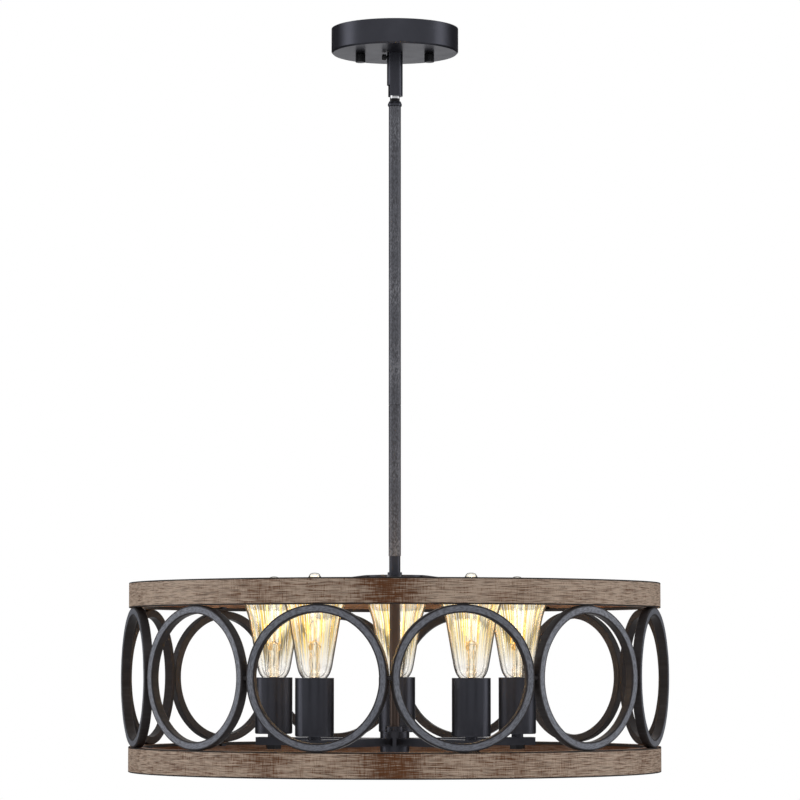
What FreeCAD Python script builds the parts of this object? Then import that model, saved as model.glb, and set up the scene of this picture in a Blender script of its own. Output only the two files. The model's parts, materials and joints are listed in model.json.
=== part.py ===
import FreeCAD, Part
import math
import os
import Sketcher

# Drum chandelier, millimetres. +Z is up, the ceiling plane is z = 0, and the front of the lamp faces -Y.
# Everything hangs from the crossbar: pan, swivel, two rods, spider, drum cage and a hub with five lamps.

doc = FreeCAD.newDocument("drum_chandelier")
sheet = doc.addObject("Spreadsheet::Sheet", "dims")


class Size:
    """A size that carries its number and the sheet expression which gives that number."""

    def __init__(self, value, text):
        self.value = float(value)
        self.text = text

    def __add__(self, other):
        other = size_of(other)
        return Size(self.value + other.value, f"({self.text} + {other.text})")

    def __sub__(self, other):
        other = size_of(other)
        return Size(self.value - other.value, f"({self.text} - {other.text})")

    def __mul__(self, other):
        other = size_of(other)
        return Size(self.value * other.value, f"({self.text} * {other.text})")

    def __truediv__(self, other):
        other = size_of(other)
        return Size(self.value / other.value, f"({self.text} / {other.text})")

    def __rsub__(self, other):
        return size_of(other) - self

    def __rtruediv__(self, other):
        return size_of(other) / self

    def __neg__(self):
        return Size(-self.value, f"(-1 * {self.text})")

    __radd__ = __add__
    __rmul__ = __mul__


def size_of(number):
    """Turns a plain count into a Size."""
    if isinstance(number, Size):
        return number
    return Size(number, repr(number))


def root(size):
    return Size(math.sqrt(size.value), f"sqrt({size.text})")


def sine(degrees):
    return Size(math.sin(math.radians(degrees.value)), f"sin({degrees.text})")


def cosine(degrees):
    return Size(math.cos(math.radians(degrees.value)), f"cos({degrees.text})")


def tangent(degrees):
    return Size(math.tan(math.radians(degrees.value)), f"tan({degrees.text})")


ZERO = Size(0, "0")
rows = []


def cell(alias, number, note):
    """Writes one driving dimension into the sheet and returns it."""
    row = len(rows) + 1
    rows.append(alias)
    sheet.set(f"A{row}", note)
    sheet.set(f"B{row}", str(number))
    sheet.setAlias(f"B{row}", alias)
    return Size(number, f"dims.{alias}")


# Ceiling pan and its crossbar
canopy_radius = cell("canopy_radius", 64.5, "outer radius of the ceiling pan")
canopy_height = cell("canopy_height", 25, "depth of the ceiling pan")
canopy_wall = cell("canopy_wall", 1.2, "sheet thickness of the pan")
canopy_edge = cell("canopy_edge", 1.6, "bevel round the lower edge of the pan")
bar_length = cell("bar_length", 112, "length of the crossbar")
bar_width = cell("bar_width", 20, "width of the crossbar")
bar_thickness = cell("bar_thickness", 2.5, "thickness of the crossbar")
box_spacing = cell("box_spacing", 88.9, "spacing of the two slots for the outlet box screws")
box_hole_radius = cell("box_hole_radius", 2.2, "half width of a crossbar slot")
box_slot_run = cell("box_slot_run", 5, "distance between the two end centres of a slot")
bar_hole_radius = cell("bar_hole_radius", 6.5, "hole for the wires in the middle of the bar")
stud_spacing = cell("stud_spacing", 70, "spacing of the two studs that carry the pan")
stud_radius = cell("stud_radius", 2, "radius of a stud")
stud_length = cell("stud_length", 31.5, "length of a stud")
knob_radius = cell("knob_radius", 5, "radius of a knob nut")
knob_height = cell("knob_height", 8.8, "height of a knob nut")
knob_edge = cell("knob_edge", 0.7, "bevel on a knob nut")
ground_radius = cell("ground_radius", 1.75, "radius of the grounding screw")
ground_offset = cell("ground_offset", 14, "grounding screw from the middle of the bar")
ground_head_radius = cell("ground_head_radius", 3.6, "radius of the grounding screw's head")
ground_head_height = cell("ground_head_height", 2.2, "height of the grounding screw's head")
ground_reach = cell("ground_reach", 7, "length of the grounding screw's shank")

# Swivel that lets the rod hang straight under a sloping ceiling
collar_radius = cell("collar_radius", 8, "radius of the collar, sleeve and bolt head")
collar_height = cell("collar_height", 8, "collar below the pan")
collar_shank_radius = cell("collar_shank_radius", 6.6, "threaded shank of the collar through the pan")
collar_shank_rise = cell("collar_shank_rise", 13, "shank of the collar above the pan's underside")
collar_nut_flats = cell("collar_nut_flats", 19, "across flats of the nut inside the pan")
collar_nut_height = cell("collar_nut_height", 5, "height of the nut inside the pan")
bolt_radius = cell("bolt_radius", 5, "hollow bolt that the sleeve turns on")
bolt_bore_radius = cell("bolt_bore_radius", 3, "wire way through the hollow bolt")
bolt_head_height = cell("bolt_head_height", 4, "height of the hollow bolt's head")
sleeve_length = cell("sleeve_length", 35.7, "length of the slotted sleeve")
sleeve_wall = cell("sleeve_wall", 1.45, "wall of the slotted sleeve")
bush_height = cell("bush_height", 7, "threaded bush in the top of the sleeve")
ball_clearance = cell("ball_clearance", 0.1, "running clearance of the ball, bolt and lamp caps")
ball_level = cell("ball_level", 7.8, "ball centre above the sleeve's lower end")
ball_bore_radius = cell("ball_bore_radius", 2.6, "wire way through the ball and its neck")
neck_radius = cell("neck_radius", 5, "neck below the ball")
neck_clearance = cell("neck_clearance", 0.3, "room round the neck in the slot")
neck_gap = cell("neck_gap", 5.5, "bare neck between sleeve and ferrule")
slot_rise = cell("slot_rise", 3.4, "top of the slot above the ball centre")
slot_angle = cell("slot_angle", 80, "slot direction from the front towards the left, degrees")
thumb_angle = cell("thumb_angle", 75, "thumb screw direction from the front towards the left, degrees")
thumb_radius = cell("thumb_radius", 1.5, "shank of the thumb screw")
thumb_head_radius = cell("thumb_head_radius", 3.1, "head of the thumb screw")
thumb_head_length = cell("thumb_head_length", 3.6, "length of the thumb screw's head")
thumb_stand = cell("thumb_stand", 1.4, "bare shank between collar and thumb screw head")
thumb_edge = cell("thumb_edge", 0.5, "bevel on the thumb screw's head")

# Down rods and what joins them
rod_radius = cell("rod_radius", 6.2, "outer radius of both rods")
upper_rod_length = cell("upper_rod_length", 304.8, "length of the upper rod")
lower_rod_length = cell("lower_rod_length", 152.4, "length of the lower rod")
rod_edge = cell("rod_edge", 0.4, "bevel at the rod ends")
thread_radius = cell("thread_radius", 4.3, "threaded nipples inside the rods")
thread_fit = cell("thread_fit", 0.05, "room between a thread and its hole")
thread_bore_radius = cell("thread_bore_radius", 3, "wire way through the nipples")
thread_reach = cell("thread_reach", 15, "length of thread inside each rod")
ferrule_radius = cell("ferrule_radius", 7.1, "lip of the ferrule on top of the rods")
ferrule_top_radius = cell("ferrule_top_radius", 6, "top of the ferrule")
ferrule_height = cell("ferrule_height", 4.7, "height of the ferrule")
ferrule_bevel = cell("ferrule_bevel", 2.6, "height of the ferrule's bevel")
stem_radius = cell("stem_radius", 5.65, "stem collar between rods and drum")
stem_length = cell("stem_length", 16.2, "plain length of the stem collar")
stem_flange_radius = cell("stem_flange_radius", 7.25, "flange of the stem collar")
stem_flange_height = cell("stem_flange_height", 3.1, "height of that flange")

# Drum cage
drum_radius = cell("drum_radius", 266.7, "outer radius of the two hoops")
band_height = cell("band_height", 25.2, "height of a hoop")
band_wall = cell("band_wall", 2, "thickness of a hoop's wall")
band_flange = cell("band_flange", 14.5, "hoop flange measured in from the outside")
band_flange_height = cell("band_flange_height", 2, "thickness of the hoop's flange")
ring_count = cell("ring_count", 12, "rings round the drum")
ring_depth = cell("ring_depth", 8.8, "front to back of a ring")
ring_face = cell("ring_face", 8, "width of a ring's face")
ring_gap = cell("ring_gap", 0.3, "gap between neighbouring rings at the back")
ring_edge = cell("ring_edge", 0.5, "bevel on the ring's edges")
pin_radius = cell("pin_radius", 2.2, "pin that joins two neighbouring rings")
pin_half = cell("pin_half", 7, "half the length of such a pin")
pin_depth = cell("pin_depth", 4.4, "pin axis behind the ring's front face")
screw_radius = cell("screw_radius", 2, "shank of the cage screws")
screw_head_radius = cell("screw_head_radius", 3.4, "head of the cage screws")
screw_head_height = cell("screw_head_height", 2.2, "head height of the cage screws")
screw_grip = cell("screw_grip", 6, "depth of a ring screw in its ring")
screw_inset = cell("screw_inset", 5.7, "ring screws behind the hoop's outside")

# Spider that carries the cage
spider_radius = cell("spider_radius", 32, "plate in the middle of the spider")
spider_thickness = cell("spider_thickness", 3, "thickness of the spider")
spider_rise = cell("spider_rise", 7.9, "top of the plate above the upper hoop")
spider_arm_width = cell("spider_arm_width", 14, "width of a spider arm")
spider_arm_count = cell("spider_arm_count", 5, "arms on the spider")
spider_pad_length = cell("spider_pad_length", 22, "flat foot of a spider arm on the hoop's flange")
spider_pad_gap = cell("spider_pad_gap", 1, "gap between the foot and the hoop's wall")
spider_nut_flats = cell("spider_nut_flats", 15, "across flats of the nut under the plate")
spider_nut_height = cell("spider_nut_height", 5, "height of that nut")
spider_screw_inset = cell("spider_screw_inset", 9, "spider screws behind the hoop's inside")

# Hub, arms and lamps
tube_radius = cell("tube_radius", 5.25, "centre tube inside the drum")
tube_length = cell("tube_length", 152.5, "length of the centre tube")
hub_radius = cell("hub_radius", 14.7, "outer radius of the hub")
hub_wall = cell("hub_wall", 3, "side wall of the hub")
hub_roof = cell("hub_roof", 4, "top wall of the hub")
hub_height = cell("hub_height", 19, "height of the hub")
hub_grip = cell("hub_grip", 4, "length of tube in the hub's roof")
hub_collar_radius = cell("hub_collar_radius", 9.6, "lock collar above the hub")
hub_collar_height = cell("hub_collar_height", 5, "height of the lock collar")
hub_cap_height = cell("hub_cap_height", 2.6, "closing cap under the hub")
hub_plug_height = cell("hub_plug_height", 3, "threaded plug of the cap inside the hub")
lamp_count = cell("lamp_count", 5, "arms, sockets and bulbs")
lamp_radius = cell("lamp_radius", 130, "socket axes from the middle")
arm_width = cell("arm_width", 14, "width of a lamp arm")
arm_height = cell("arm_height", 8, "height of a lamp arm")
arm_wall = cell("arm_wall", 1.2, "wall of a lamp arm")
arm_drop = cell("arm_drop", 6.3, "top of the arms below the top of the hub")
arm_overhang = cell("arm_overhang", 17, "arm beyond the socket's axis")
arm_end = cell("arm_end", 3, "closed outer end of an arm")
nipple_radius = cell("nipple_radius", 4.8, "threaded nipple through the arm's end")
nipple_bore_radius = cell("nipple_bore_radius", 3.2, "wire way through that nipple")
arm_nut_flats = cell("arm_nut_flats", 14, "across flats of the nut under the arm")
arm_nut_height = cell("arm_nut_height", 4, "height of that nut")
spacer_radius = cell("spacer_radius", 6, "spacer between arm and socket cover")
spacer_height = cell("spacer_height", 3.3, "height of the spacer")
cover_radius = cell("cover_radius", 19, "outer radius of a socket cover")
cover_height = cell("cover_height", 57, "height of a socket cover")
cover_wall = cell("cover_wall", 1.1, "wall and floor of a socket cover")
cover_edge = cell("cover_edge", 1, "bevel at the cover's lower edge")
holder_radius = cell("holder_radius", 16.6, "insulating lamp holder in the cover")
holder_grip = cell("holder_grip", 8, "thread of the nipple in the holder")
holder_floor = cell("holder_floor", 12.2, "solid base of the holder")
holder_height = cell("holder_height", 43, "height of the holder")
shell_wall = cell("shell_wall", 0.5, "brass of the screw shell")
shell_height = cell("shell_height", 27, "height of the screw shell")
shell_lip = cell("shell_lip", 3.5, "inward lip under the screw shell")
contact_radius = cell("contact_radius", 4, "spring contact in the holder")
contact_height = cell("contact_height", 4, "height of the spring contact")
cap_radius = cell("cap_radius", 13.1, "screw cap of a bulb")
cap_height = cell("cap_height", 26.5, "height of the screw cap")
cap_cone = cell("cap_cone", 6.5, "tapered insulator under the cap")
cap_tip_radius = cell("cap_tip_radius", 4.5, "solder tip under the cap")
cap_wall = cell("cap_wall", 0.7, "metal of the screw cap")
cap_socket_depth = cell("cap_socket_depth", 12, "glass neck inside the cap")
glass_wall = cell("glass_wall", 1, "thickness of the bulb's glass")
glass_neck_height = cell("glass_neck_height", 25.5, "straight neck, to just above the cover's mouth")
glass_flare_radius = cell("glass_flare_radius", 18, "glass where the rounding above the neck ends")
glass_flare_height = cell("glass_flare_height", 40.5, "height of that place above the neck's end")
glass_side_radius = cell("glass_side_radius", 24.8, "glass two thirds of the way up")
glass_side_height = cell("glass_side_height", 80, "height of that place")
glass_belly_radius = cell("glass_belly_radius", 30, "widest place of the glass")
glass_belly_height = cell("glass_belly_height", 103.5, "height of the widest place")
glass_dome_radius = cell("glass_dome_radius", 17, "shoulder of the glass")
glass_dome_height = cell("glass_dome_height", 119.5, "height of the shoulder")
glass_tip_radius = cell("glass_tip_radius", 6, "foot of the tip on top of the glass")
glass_tip_height = cell("glass_tip_height", 124, "height of the tip's foot")
glass_height = cell("glass_height", 127.6, "height of the glass")

# Levels below the ceiling, from the top down
canopy_floor = -canopy_height
sleeve_top = canopy_floor - collar_height - ball_clearance
sleeve_foot = sleeve_top - sleeve_length
ball_centre = sleeve_foot + ball_level
ferrule_top = sleeve_foot - neck_gap
upper_rod_top = ferrule_top - ferrule_height
rod_joint = upper_rod_top - upper_rod_length
lower_rod_foot = rod_joint - lower_rod_length
stem_flange_top = lower_rod_foot - stem_length
spider_top = stem_flange_top - stem_flange_height
spider_foot = spider_top - spider_thickness
tube_top = spider_foot - spider_nut_height
tube_foot = tube_top - tube_length
drum_top = spider_top - spider_rise
ring_radius = (drum_radius - ring_depth) * tangent(180 / ring_count) - ring_gap / 2
upper_flange = drum_top - band_height
ring_level = upper_flange - ring_radius
lower_flange = ring_level - ring_radius
hub_top = tube_foot + hub_grip
hub_foot = hub_top - hub_height
arm_top = hub_top - arm_drop
arm_foot = arm_top - arm_height
cover_foot = arm_top + spacer_height
cover_mouth = cover_foot + cover_height
holder_foot = cover_foot + cover_wall
holder_seat = holder_foot + holder_floor
cap_foot = holder_seat + contact_height + ball_clearance
glass_foot = cap_foot + cap_height - cap_socket_depth

# Radii and places that several pieces share
thread_hole = thread_radius + thread_fit
bolt_hole = bolt_radius + ball_clearance
stud_hole = stud_radius + ball_clearance
screw_hole = screw_radius + thread_fit
thumb_hole = thumb_radius + ball_clearance
nipple_hole = nipple_radius + thread_fit
sleeve_bore = collar_radius - sleeve_wall
ball_radius = sleeve_bore - ball_clearance
neck_hole = neck_radius + neck_clearance
ring_front = drum_radius
ring_back = drum_radius - ring_depth
ring_hole = ring_radius - ring_face
ring_half_turn = 180 / ring_count
pin_reach = (drum_radius - pin_depth) / cosine(ring_half_turn)
screw_reach = drum_radius - screw_inset
flange_inside = drum_radius - band_flange
spider_screw_reach = drum_radius - band_wall - spider_screw_inset
hub_inside = hub_radius - hub_wall
shell_inside = cap_radius + ball_clearance
shell_outside = shell_inside + shell_wall
glass_neck_radius = cap_radius - cap_wall - thread_fit


def new_body(label):
    """An empty body whose label names the sub-part."""
    body = doc.addObject("PartDesign::Body", label)
    body.Label = label
    return body


def origin_part(body, role):
    return next(item for item in body.Origin.OriginFeatures if item.Role == role)


def new_sketch(body, role, name):
    """A sketch on one of the body's own planes."""
    sketch = body.newObject("Sketcher::SketchObject", f"{body.Label}_{name}")
    sketch.AttachmentSupport = [(origin_part(body, role), "")]
    sketch.MapMode = "FlatFace"
    return sketch


def pin_point(sketch, geometry, end, x, y):
    """Ties a point of the sketch to two sizes measured from its origin."""
    for kind, size in (("DistanceX", x), ("DistanceY", y)):
        index = sketch.addConstraint(Sketcher.Constraint(kind, -1, 1, geometry, end, size.value))
        sketch.setExpression(f"Constraints[{index}]", size.text)


def arc_on_axis(start, stop):
    """Arc between two points about a centre on the vertical axis, and whether it runs backwards."""
    (x0, y0), (x1, y1) = start, stop
    middle = (x0 * x0 + y0 * y0 - x1 * x1 - y1 * y1) / (2 * (y0 - y1))
    first = math.atan2(y0 - middle, x0)
    last = math.atan2(y1 - middle, x1)
    circle = Part.Circle(FreeCAD.Vector(0, middle, 0), FreeCAD.Vector(0, 0, 1), math.hypot(x0, y0 - middle))
    backwards = last < first
    return Part.ArcOfCircle(circle, min(first, last), max(first, last)), backwards


def draw_outline(sketch, points, arcs=()):
    """A closed outline through sized points; segments listed in arcs are round about the vertical axis."""
    corners = [(x.value, y.value) for x, y in points]
    ends = []
    for index, start in enumerate(corners):
        stop = corners[(index + 1) % len(corners)]
        if index in arcs:
            edge, backwards = arc_on_axis(start, stop)
        else:
            edge, backwards = Part.LineSegment(FreeCAD.Vector(*start), FreeCAD.Vector(*stop)), False
        geometry = sketch.addGeometry(edge, False)
        ends.append((geometry, 2, 1) if backwards else (geometry, 1, 2))
    for index, (geometry, first, last) in enumerate(ends):
        after, after_first, _ = ends[(index + 1) % len(ends)]
        sketch.addConstraint(Sketcher.Constraint("Coincident", geometry, last, after, after_first))
        pin_point(sketch, geometry, first, *points[index])
        if index in arcs:
            sketch.addConstraint(Sketcher.Constraint("PointOnObject", geometry, 3, -2))


def draw_axis(sketch, start, stop):
    """A construction line that a revolution or groove turns about."""
    first, last = (FreeCAD.Vector(x.value, y.value) for x, y in (start, stop))
    geometry = sketch.addGeometry(Part.LineSegment(first, last), True)
    pin_point(sketch, geometry, 1, *start)
    pin_point(sketch, geometry, 2, *stop)


def draw_circle(sketch, x, y, radius):
    circle = Part.Circle(FreeCAD.Vector(x.value, y.value), FreeCAD.Vector(0, 0, 1), radius.value)
    geometry = sketch.addGeometry(circle, False)
    pin_point(sketch, geometry, 3, x, y)
    index = sketch.addConstraint(Sketcher.Constraint("Radius", geometry, radius.value))
    sketch.setExpression(f"Constraints[{index}]", radius.text)


def box_points(x0, x1, y0, y1):
    return [(x0, y0), (x1, y0), (x1, y1), (x0, y1)]


def tube_points(inner, outer, foot, top):
    return box_points(inner, outer, foot, top)


def bevelled_tube(inner, outer, foot, top, bevel):
    """Half section of a tube with both outer edges bevelled."""
    return [(inner, foot), (outer - bevel, foot), (outer, foot + bevel),
            (outer, top - bevel), (outer - bevel, top), (inner, top)]


def spin(body, kind, name, outlines, axis="V_Axis", arcs=(), role="XZ_Plane", line=None):
    """Turns outlines about an axis of their sketch, or about a line drawn in it."""
    sketch = new_sketch(body, role, name)
    for points in outlines:
        draw_outline(sketch, points, arcs)
    if line:
        draw_axis(sketch, *line)
        axis = "Axis0"
    feature = body.newObject(f"PartDesign::{kind}", f"{body.Label}_{name}_turned")
    feature.Profile = sketch
    feature.ReferenceAxis = (sketch, [axis])
    feature.Angle = 360
    doc.recompute()
    return feature


def upright(x):
    """A vertical line at distance x from the middle."""
    return (x, -drum_radius), (x, drum_radius)


def add_turned(body, name, outlines, **options):
    return spin(body, "Revolution", name, outlines, **options)


def cut_turned(body, name, outlines, **options):
    """A turned cut that must take material away."""
    before = body.Shape.Volume
    feature = spin(body, "Groove", name, outlines, **options)
    if not body.Shape.Volume < before:
        raise RuntimeError(f"{body.Label}: {name} removes nothing")
    return feature


def extrude(body, kind, name, outlines, length, role, circles=()):
    """Pads or pockets outlines and circles to both sides of their plane."""
    sketch = new_sketch(body, role, name)
    for points in outlines:
        draw_outline(sketch, points)
    for circle in circles:
        draw_circle(sketch, *circle)
    feature = body.newObject(f"PartDesign::{kind}", f"{body.Label}_{name}_{kind.lower()}")
    feature.Profile = sketch
    feature.SideType = "Symmetric"
    feature.setExpression("Length", length.text)
    doc.recompute()
    return feature


def around(body, features, count, name):
    """Repeats features evenly round the vertical axis."""
    pattern = body.newObject("PartDesign::PolarPattern", f"{body.Label}_{name}")
    pattern.Originals = features
    pattern.Axis = (origin_part(body, "Z_Axis"), [""])
    pattern.Angle = 360
    pattern.setExpression("Occurrences", count.text)
    body.Tip = pattern
    doc.recompute()
    return pattern


def aim(body, degrees, height=ZERO):
    """Turns a body about the vertical axis and lifts it."""
    rotation = FreeCAD.Rotation(FreeCAD.Vector(0, 0, 1), degrees.value)
    body.Placement = FreeCAD.Placement(FreeCAD.Vector(), rotation)
    body.setExpression("Placement.Rotation.Angle", degrees.text)
    body.setExpression("Placement.Base.z", height.text)


def turned(label, points, arcs=()):
    """A piece turned about the lamp's own axis."""
    body = new_body(label)
    add_turned(body, "section", [points], arcs=arcs)
    return body


def turned_group(label, outlines, reach, count, degrees=ZERO):
    """Equal turned pieces with upright axes, evenly spaced on a circle."""
    body = new_body(label)
    moved = [[(reach + x, y) for x, y in points] for points in outlines]
    first = add_turned(body, "section", moved, line=upright(reach))
    around(body, [first], count, "circle")
    aim(body, degrees)
    return body


def hexagon(flats, x):
    """Corners of a hexagon about a point on the sketch's horizontal axis."""
    corner = flats / (2 * cosine(size_of(30)))
    turns = [size_of(60 * step) for step in range(6)]
    return [(x + corner * cosine(turn), corner * sine(turn)) for turn in turns]


def hex_nut(label, flats, bore, height, foot, reach=ZERO, count=None, degrees=ZERO):
    """One hexagon nut, or several on a circle."""
    body = new_body(label)
    nut = extrude(body, "Pad", "nut", [hexagon(flats, reach)], height, "XY_Plane", [(reach, ZERO, bore)])
    if count:
        around(body, [nut], count, "circle")
    aim(body, degrees, foot + height / 2)
    return body


def lamp_bearing(index):
    """Direction of a lamp from +X, the first lamp lying at the back."""
    return 90 + size_of(index) * (360 / lamp_count)


def left_bearing(angle):
    """Bearing from +X of a direction given from the front towards the left."""
    return 270 - angle


def build_crossbar():
    body = new_body("crossbar")
    half = bar_length / 2
    wide = bar_width / 2
    circles = [(ZERO, ZERO, bar_hole_radius), (ground_offset, ZERO, ground_radius + thread_fit)]
    for side in (-1, 1):
        circles.append((side * stud_spacing / 2, ZERO, stud_radius + thread_fit))
    extrude(body, "Pad", "bar", [box_points(-half, half, -wide, wide)], bar_thickness, "XY_Plane", circles)
    for name, side in (("left", -1), ("right", 1)):
        middle = side * box_spacing / 2
        run = box_slot_run / 2
        slot = box_points(middle - run, middle + run, -box_hole_radius, box_hole_radius)
        extrude(body, "Pocket", f"{name}_slot", [slot], 2 * bar_thickness, "XY_Plane")
        for end, step in (("inner", -side), ("outer", side)):
            circle = (middle + step * run, ZERO, box_hole_radius)
            extrude(body, "Pocket", f"{name}_{end}_end", [], 2 * bar_thickness, "XY_Plane", [circle])
    aim(body, ZERO, -bar_thickness / 2)
    return body


def build_studs():
    body = new_body("crossbar_studs")
    reach = stud_spacing / 2
    stud = tube_points(reach, reach + stud_radius, -stud_length, ZERO)
    first = add_turned(body, "section", [stud], line=upright(reach))
    around(body, [first], size_of(2), "circle")
    return body


def build_ground_screw():
    body = new_body("ground_screw")
    x = ground_offset
    top = -bar_thickness
    shank = x + ground_radius
    head = x + ground_head_radius
    tip = top - ground_reach
    under = top - ground_head_height
    points = [(x, ZERO), (x, tip), (shank, tip), (shank, under), (head, under), (head, top), (shank, top),
              (shank, ZERO)]
    add_turned(body, "section", [points], line=upright(x))
    return body


def build_canopy():
    """The pan: a shallow cup, open to the ceiling, with a hole for the collar and two for the studs."""
    inner = canopy_radius - canopy_wall
    mouth = collar_shank_radius + thread_fit
    rise = canopy_floor + canopy_edge
    inside = canopy_floor + canopy_wall
    points = [(mouth, canopy_floor), (canopy_radius - canopy_edge, canopy_floor), (canopy_radius, rise),
              (canopy_radius, ZERO), (inner, ZERO), (inner, rise),
              (inner - canopy_edge + canopy_wall, inside), (mouth, inside)]
    body = turned("canopy_pan", points)
    reach = stud_spacing / 2
    hole = tube_points(reach, reach + stud_hole, canopy_floor - canopy_wall, canopy_floor + 2 * canopy_wall)
    first = cut_turned(body, "stud_hole", [hole], line=upright(reach))
    around(body, [first], size_of(2), "stud_holes")
    return body


def build_knob(label, side):
    """A round nut with a blind hole that holds the pan up on one stud."""
    body = new_body(label)
    top = canopy_floor - ball_clearance
    foot = top - knob_height
    blind = -stud_length - ball_clearance
    x = side * stud_spacing / 2
    points = [(x, foot), (x + knob_radius - knob_edge, foot), (x + knob_radius, foot + knob_edge),
              (x + knob_radius, top - knob_edge), (x + knob_radius - knob_edge, top), (x + stud_hole, top),
              (x + stud_hole, blind), (x, blind)]
    add_turned(body, "section", [points], line=upright(x))
    return body


def build_collar():
    shank_top = canopy_floor + collar_shank_rise
    foot = canopy_floor - collar_height
    points = [(bolt_hole, foot), (collar_radius, foot), (collar_radius, canopy_floor),
              (collar_shank_radius, canopy_floor), (collar_shank_radius, shank_top), (bolt_hole, shank_top)]
    body = turned("canopy_collar", points)
    middle = canopy_floor - collar_height / 2
    hole = box_points(bolt_radius, collar_radius + collar_height, middle, middle + thumb_hole)
    cut_turned(body, "thumb_hole", [hole], line=((ZERO, middle), (collar_radius, middle)))
    aim(body, left_bearing(thumb_angle))
    return body


def build_thumb_screw():
    middle = canopy_floor - collar_height / 2
    tip = bolt_radius + ball_clearance
    face = collar_radius + thumb_stand
    end = face + thumb_head_length
    rim = middle + thumb_head_radius
    points = [(tip, middle), (end, middle), (end, rim - thumb_edge), (end - thumb_edge, rim),
              (face + thumb_edge, rim), (face, rim - thumb_edge), (face, middle + thumb_radius),
              (tip, middle + thumb_radius)]
    body = new_body("thumb_screw")
    add_turned(body, "section", [points], line=((ZERO, middle), (collar_radius, middle)))
    aim(body, left_bearing(thumb_angle))
    return body


def build_bolt():
    """Hollow bolt: its head turns on the collar's shank, and its thread holds the bush and the sleeve."""
    seat = canopy_floor + collar_shank_rise + ball_clearance
    foot = sleeve_top - bush_height
    points = [(bolt_bore_radius, foot), (bolt_radius, foot), (bolt_radius, seat), (collar_radius, seat),
              (collar_radius, seat + bolt_head_height), (bolt_bore_radius, seat + bolt_head_height)]
    return turned("swivel_bolt", points)


def build_sleeve():
    """Tube with a round seat for the ball, a hole for the neck and a slot that lets the neck swing out."""
    seat = root(sleeve_bore * sleeve_bore - neck_hole * neck_hole)
    points = [(neck_hole, sleeve_foot), (collar_radius, sleeve_foot), (collar_radius, sleeve_top),
              (sleeve_bore, sleeve_top), (sleeve_bore, ball_centre), (neck_hole, ball_centre - seat)]
    body = turned("swivel_sleeve", points, arcs=(4,))
    before = body.Shape.Volume
    outside = 2 * collar_radius
    slot = box_points(ZERO, outside, sleeve_foot - neck_clearance, ball_centre + slot_rise)
    extrude(body, "Pocket", "slot", [slot], 2 * neck_hole, "XZ_Plane")
    if not body.Shape.Volume < before:
        raise RuntimeError("the slot removes nothing")
    aim(body, left_bearing(slot_angle))
    return body


def build_ball():
    """Ball, neck and threaded tail in one turned piece, with the wire way through it."""
    top = root(ball_radius * ball_radius - ball_bore_radius * ball_bore_radius)
    low = root(ball_radius * ball_radius - neck_radius * neck_radius)
    tail = upper_rod_top - thread_reach
    points = [(ball_bore_radius, tail), (thread_radius, tail), (thread_radius, ferrule_top),
              (neck_radius, ferrule_top), (neck_radius, ball_centre - low),
              (ball_bore_radius, ball_centre + top)]
    return turned("swivel_ball", points, arcs=(4,))


def build_ferrule():
    points = [(thread_hole, upper_rod_top), (ferrule_radius, upper_rod_top),
              (ferrule_radius, ferrule_top - ferrule_bevel), (ferrule_top_radius, ferrule_top),
              (thread_hole, ferrule_top)]
    return turned("rod_ferrule", points)


def build_rod(label, top, length):
    return turned(label, bevelled_tube(thread_hole, rod_radius, top - length, top, rod_edge))


def build_nipple(label, foot, top):
    return turned(label, tube_points(thread_bore_radius, thread_radius, foot, top))


def build_stem_collar():
    points = [(thread_hole, spider_top), (stem_flange_radius, spider_top),
              (stem_flange_radius, stem_flange_top), (stem_radius, stem_flange_top),
              (stem_radius, lower_rod_foot), (thread_hole, lower_rod_foot)]
    return turned("stem_collar", points)


def build_spider():
    """Round plate with arms that slope down to flat feet on the upper hoop's flange."""
    body = turned("top_spider", tube_points(thread_hole, spider_radius, spider_foot, spider_top))
    root_reach = spider_radius - spider_arm_width
    tip = drum_radius - band_wall - spider_pad_gap
    heel = tip - spider_pad_length
    seat = upper_flange + band_flange_height
    points = [(root_reach, spider_foot), (spider_radius, spider_foot), (heel, seat), (tip, seat),
              (tip, seat + spider_thickness), (heel, seat + spider_thickness), (spider_radius, spider_top),
              (root_reach, spider_top)]
    arm = extrude(body, "Pad", "arm", [points], spider_arm_width, "XZ_Plane")
    hole = tube_points(spider_screw_reach, spider_screw_reach + screw_hole, seat - spider_thickness,
                       seat + 2 * spider_thickness)
    cut = cut_turned(body, "hole", [hole], line=upright(spider_screw_reach))
    around(body, [arm, cut], spider_arm_count, "arms")
    aim(body, size_of(270))
    return body


def screw_outline(seat, grip, up):
    """Half section of a screw whose head stands on a seat: up is 1 for a head on top, -1 for one below."""
    head = seat + up * screw_head_height
    tip = seat - up * grip
    return [(ZERO, tip), (screw_radius, tip), (screw_radius, seat), (screw_head_radius, seat),
            (screw_head_radius, head), (ZERO, head)]


def build_spider_screws():
    seat = upper_flange + band_flange_height + spider_thickness
    points = screw_outline(seat, spider_thickness + band_flange_height, 1)
    return turned_group("spider_screws", [points], spider_screw_reach, spider_arm_count, size_of(270))


def build_band(label, flange, up):
    """A hoop of angle section: the flange lies against the rings and the wall stands away from them."""
    inner = drum_radius - band_wall
    rim = flange + up * band_height
    step = flange + up * band_flange_height
    body = turned(label, [(flange_inside, flange), (drum_radius, flange), (drum_radius, rim), (inner, rim),
                          (inner, step), (flange_inside, step)])
    low = flange - up * band_flange_height
    high = flange + 2 * up * band_flange_height
    hole = tube_points(screw_reach, screw_reach + screw_hole, low, high)
    cut = cut_turned(body, "ring_hole", [hole], line=upright(screw_reach))
    around(body, [cut], ring_count, "ring_holes")
    aim(body, ring_bearing(0))
    return body


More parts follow.
